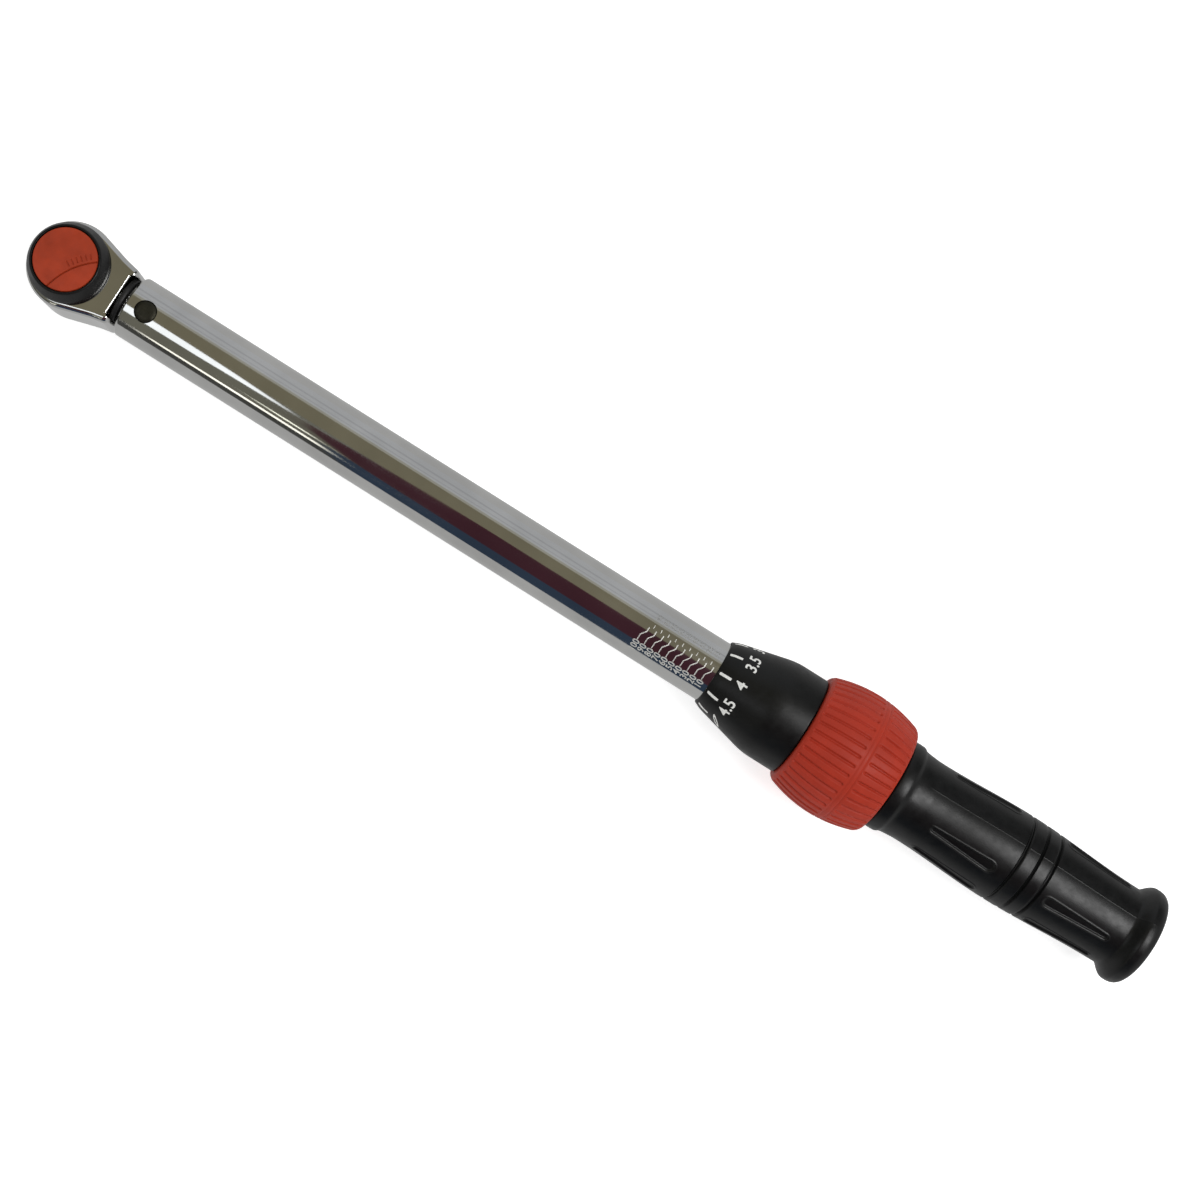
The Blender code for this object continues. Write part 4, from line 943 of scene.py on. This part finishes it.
def grip_relief(along, angle):
    """Teardrop recesses in two rows, the grooves between them, and the moulding's parting line."""
    lift = 0.0
    for groove in (345.6 * MM, 350.9 * MM, 355.9 * MM):
        lift -= 0.85 * MM * (1 - smooth_step(abs(along - groove), 0.15 * MM, 0.65 * MM))
    pitch = FULL_TURN / GRIP_SLOTS
    turn = (angle - GRIP_PARTING) % FULL_TURN
    number = round(turn / pitch) % GRIP_SLOTS
    radius = grip_radius(along)
    across = (turn - number * pitch + math.pi) % FULL_TURN - math.pi
    across *= radius
    if number % (GRIP_SLOTS // 2) == 0:
        lift += 0.05 * MM * (1 - smooth_step(abs(across), 0.05 * MM, 0.3 * MM))
        return lift
    if along < 350 * MM:
        away = slot_distance(along - 318.5 * MM, across, 20.1 * MM, 0.95 * MM, 1.85 * MM)
    else:
        away = slot_distance(380.7 * MM - along, across, 20.6 * MM, 0.9 * MM, 1.75 * MM)
    lift -= 0.5 * MM * (1 - smooth_step(away, -0.55 * MM, 0))
    lift += 0.15 * MM * (1 - smooth_step(abs(away - 0.25 * MM), 0, 0.4 * MM))
    return lift


def make_grip(finishes):
    """The moulded grip: its front bead, the long curve with the relief, and the flange."""
    bead = in_metres([
        (301.2, 12.9), (301.2, 14.7), (301.5, 15.15), (302.0, 15.3), (303.8, 15.35), (305.2, 15.3),
        (305.8, 15.1), (306.3, 14.75), (306.9, 14.5), (308.0, 14.35), (309.5, 14.2), (311.2, 14.06),
    ])
    flange = in_metres([
        (391.6, 16.45), (392.6, 16.3), (393.4, 15.95), (394.0, 15.45), (394.35, 14.9), (394.5, 14.3),
        (394.5, 13.5), (394.2, 12.9),
    ])
    steps = 260
    stations = [GRIP_SWELL_X + (GRIP_FLANGE_X - GRIP_SWELL_X) * i / steps for i in range(steps + 1)]
    outline = bead + [(x, grip_radius(x), True) for x in stations] + flange
    mesh = turned(outline, 720, grip_relief, sharp=50)
    add_piece("grip_body", mesh, "grip", finishes, "grip_black", "grip_shell")


def make_end_plug(finishes):
    """The plug in the grip's end, with a shallow ring and a dished middle."""
    outline = in_metres([
        (388.8, 0), (388.8, 12.6), (393.3, 12.6), (393.8, 12.2), (393.8, 10.2), (393.2, 9.9),
        (393.2, 9.0), (393.7, 8.7), (393.55, 4.0), (393.3, 0),
    ])
    points = rounded(outline, 0.25 * MM, 4)
    add_piece("end_plug", turned(points, 96), "grip", finishes, "cap_black", "end_cap")


def make_springs(finishes):
    """The springs that shorten: the main one, the collar's, and the one behind the socket ball."""
    main = coil(108.3 * MM, 235.7 * MM, 6.7 * MM, 1.4 * MM, 15)
    piece = add_piece("main_coil", main, "tube", finishes, "spring_steel", "main_spring")
    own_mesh(piece)
    seat = 294.0 * MM
    small = coil(284.3 * MM, seat, 13.8 * MM, 0.45 * MM, 4)
    piece = add_piece("collar_coil", small, "grip", finishes, "spring_steel", "collar_spring")
    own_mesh(piece)
    low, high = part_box("socket_ball_spring")
    middle = (low.z + high.z) / 2
    tiny = moved(coil(low.x, high.x, 1.05 * MM, 0.22 * MM, 4, 24, 8), (0, 0, middle - AXIS))
    piece = add_piece("socket_ball_coil", tiny, "drive", finishes, "spring_steel", "socket_ball_spring")
    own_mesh(piece)


# ---------------------------------------------------------------- floor, light and camera


def emitter(name, colour):
    """A material that only glows."""
    made = bpy.data.materials.new(name)
    made.use_nodes = True
    nodes = made.node_tree.nodes
    nodes.clear()
    light = nodes.new("ShaderNodeEmission")
    light.inputs["Color"].default_value = (*colour, 1)
    output = nodes.new("ShaderNodeOutputMaterial")
    made.node_tree.links.new(light.outputs["Emission"], output.inputs["Surface"])
    return made


def add_card(name, radius, colour, stations):
    """A curved sheet round the tool that only gloss sees, from (x, low angle, high angle) stations."""
    steps = 12
    shape = bmesh.new()
    rows = []
    for x, low, high in stations:
        row = []
        for i in range(steps + 1):
            angle = math.radians(low + (high - low) * i / steps)
            row.append(shape.verts.new((x, -radius * math.sin(angle), AXIS + radius * math.cos(angle))))
        rows.append(row)
    for one, other in zip(rows, rows[1:]):
        for i in range(steps):
            shape.faces.new((one[i], one[i + 1], other[i + 1], other[i]))
    mesh = bpy.data.meshes.new(name)
    shape.to_mesh(mesh)
    shape.free()
    mesh.materials.append(emitter(name, colour))
    card = bpy.data.objects.new(name, mesh)
    bpy.context.scene.collection.objects.link(card)
    hide_from_all_but_gloss(card)


def hide_from_all_but_gloss(thing):
    thing.visible_camera = False
    thing.visible_diffuse = False
    thing.visible_shadow = False
    thing.visible_transmission = False


def add_room():
    """What the chrome mirrors: a bright window and the dim furniture of a room, seen only by gloss.

    The angles go down the tool's -Y side. Past tube_end only the plastic parts mirror the cards.
    """
    back, middle, front = 1.3, 1.25, 1.2
    start, tube_end, end = -0.9, 0.4, 1.3
    add_card("room_left", back, (0.51, 0.52, 0.54), [(start, -110, -40), (tube_end, -110, -40)])
    for low, high in ((-49, -46), (-67, -61)):
        streak = [(start, low, high), (tube_end, low - 2, high - 2)]
        add_card("room_streak", middle, (0.42, 0.43, 0.45), streak)
    add_card("room_edge", back, (0.4, 0.39, 0.34), [(start, -40, -32), (tube_end, -40, -32)])
    add_card("room_olive", back, (0.21, 0.19, 0.13), [(start, -32, 14), (tube_end, -32, 14)])
    add_card("room_dim", back, (0.08, 0.08, 0.08), [(tube_end, -110, 14), (end, -110, 14)])
    add_card("room_wall", back, (0.18, 0.175, 0.14), [(start, 14, 67), (end, 14, 67)])
    add_card("room_skirting", back, (0.07, 0.07, 0.065), [(start, 67, 91), (end, 67, 91)])
    line = [(-0.265, 67.5, 73), (-0.16, 66.5, 73.5), (-0.07, 67, 74)]
    add_card("room_line", middle, (2.0, 1.95, 1.75), line)
    glint = [(-0.145, 54, 55), (-0.105, 52, 57.5), (-0.08, 54, 55.5)]
    add_card("room_glint", middle, (2.2, 2.2, 1.9), glint)
    maroon = [(-0.09, 24, 38), (-0.045, 18, 55), (0.0, 12.5, 57), (0.09, 5, 57), (end, 5, 57)]
    add_card("room_maroon", middle, (0.062, 0.022, 0.031), maroon)
    navy = [(-0.07, 57, 66), (-0.045, 55, 91), (0.0, 57, 91), (end, 57, 91)]
    add_card("room_navy", middle, (0.035, 0.053, 0.087), navy)
    window = [(start, 8, 33), (-0.275, 9, 32.5), (-0.2, 10.5, 30.5), (-0.16, 13, 27), (-0.11, 19, 24)]
    add_card("room_window", front, (1.5, 1.55, 1.6), window)
    wall = Matrix.Translation((start, 0, AXIS)) @ Matrix.Rotation(math.pi / 2, 4, "Y")
    add_sheet("room_far_wall", (0.1, 0.1, 0.08), 1.4, wall)
    # Just over the floor, so that the chrome's sides stand out from it
    glow_height = CAD_BOX[0][2] - 0.05 * MM
    add_sheet("floor_glow", (0.5, 0.5, 0.5), 5, Matrix.Translation((0, 0, glow_height)))


def add_sheet(name, colour, half_size, placed):
    """A flat square sheet that only gloss sees."""
    shape = bmesh.new()
    bmesh.ops.create_grid(shape, x_segments=1, y_segments=1, size=half_size)
    mesh = bpy.data.meshes.new(name)
    shape.to_mesh(mesh)
    shape.free()
    mesh.materials.append(emitter(name, colour))
    sheet = bpy.data.objects.new(name, mesh)
    sheet.matrix_world = placed
    bpy.context.scene.collection.objects.link(sheet)
    hide_from_all_but_gloss(sheet)


def add_floor():
    """The pale paper that the tool lies on."""
    shape = bmesh.new()
    bmesh.ops.create_grid(shape, x_segments=1, y_segments=1, size=6)
    mesh = bpy.data.meshes.new("floor")
    shape.to_mesh(mesh)
    shape.free()
    finish = Finish("floor_paper", (0.8, 0.8, 0.8), 0.8)
    finish.tinted(finish.noise(2.0, 2), 0.995, 1.0)
    finish.shader.inputs["Emission Color"].default_value = (1, 1, 1, 1)
    finish.shader.inputs["Emission Strength"].default_value = 0.62
    mesh.materials.append(finish.made)
    floor = bpy.data.objects.new("floor", mesh)
    floor.location.z = CAD_BOX[0][2] - 0.1 * MM
    bpy.context.scene.collection.objects.link(floor)


def add_light(name, place, aim, size, power):
    """A rectangular studio light, turned to face a point."""
    data = bpy.data.lights.new(name, "AREA")
    data.shape = "RECTANGLE"
    data.size, data.size_y = size
    data.energy = power
    light = bpy.data.objects.new(name, data)
    light.location = place
    light.rotation_euler = (Vector(aim) - Vector(place)).to_track_quat("-Z", "Y").to_euler()
    bpy.context.scene.collection.objects.link(light)
    return light


def light_scene():
    """An even pale surrounding, and one soft light from above the grip."""
    world = bpy.data.worlds.new("studio")
    world.use_nodes = True
    world.node_tree.nodes["Background"].inputs["Color"].default_value = (1, 1, 1, 1)
    world.node_tree.nodes["Background"].inputs["Strength"].default_value = 0.55
    bpy.context.scene.world = world
    add_light("key", (0.74, 0.13, 1.12), (0.33, 0, 0), (0.6, 0.42), 8)
    bpy.context.scene.view_settings.view_transform = "Standard"


def add_camera():
    """Looks down on the tool, which runs from the upper left to the lower right."""
    eye = Vector((0.1802, -0.0509, 0.6545))
    aim = Vector((0.1769, 0.0001, 0.022))
    slope = math.radians(32.17)
    back = (eye - aim).normalized()
    along = Vector((1, 0, 0))
    along = (along - back * along.dot(back)).normalized()
    across = back.cross(along)
    right = math.cos(slope) * along + math.sin(slope) * across
    up = back.cross(right)
    data = bpy.data.cameras.new("camera")
    data.lens = 60.67
    data.sensor_width = 36
    data.shift_x = 0.04
    data.shift_y = -0.025
    data.clip_start = 0.01
    camera = bpy.data.objects.new("camera", data)
    turn = Matrix((right, up, back)).transposed()
    camera.matrix_world = Matrix.Translation(eye) @ turn.to_4x4()
    bpy.context.scene.collection.objects.link(camera)
    bpy.context.scene.camera = camera


def main():
    """Build every piece, then the setting that it's looked at in."""
    finishes = make_finishes()
    finish_cad_nodes(finishes)
    make_head(finishes)
    make_seal(finishes)
    make_dial(finishes)
    make_pivot_pin(finishes)
    make_socket_ball(finishes)
    make_tube(finishes)
    make_scale(finishes)
    make_thimble(finishes)
    make_collar(finishes)
    make_grip(finishes)
    make_end_plug(finishes)
    make_springs(finishes)
    add_floor()
    add_room()
    light_scene()
    add_camera()


main()
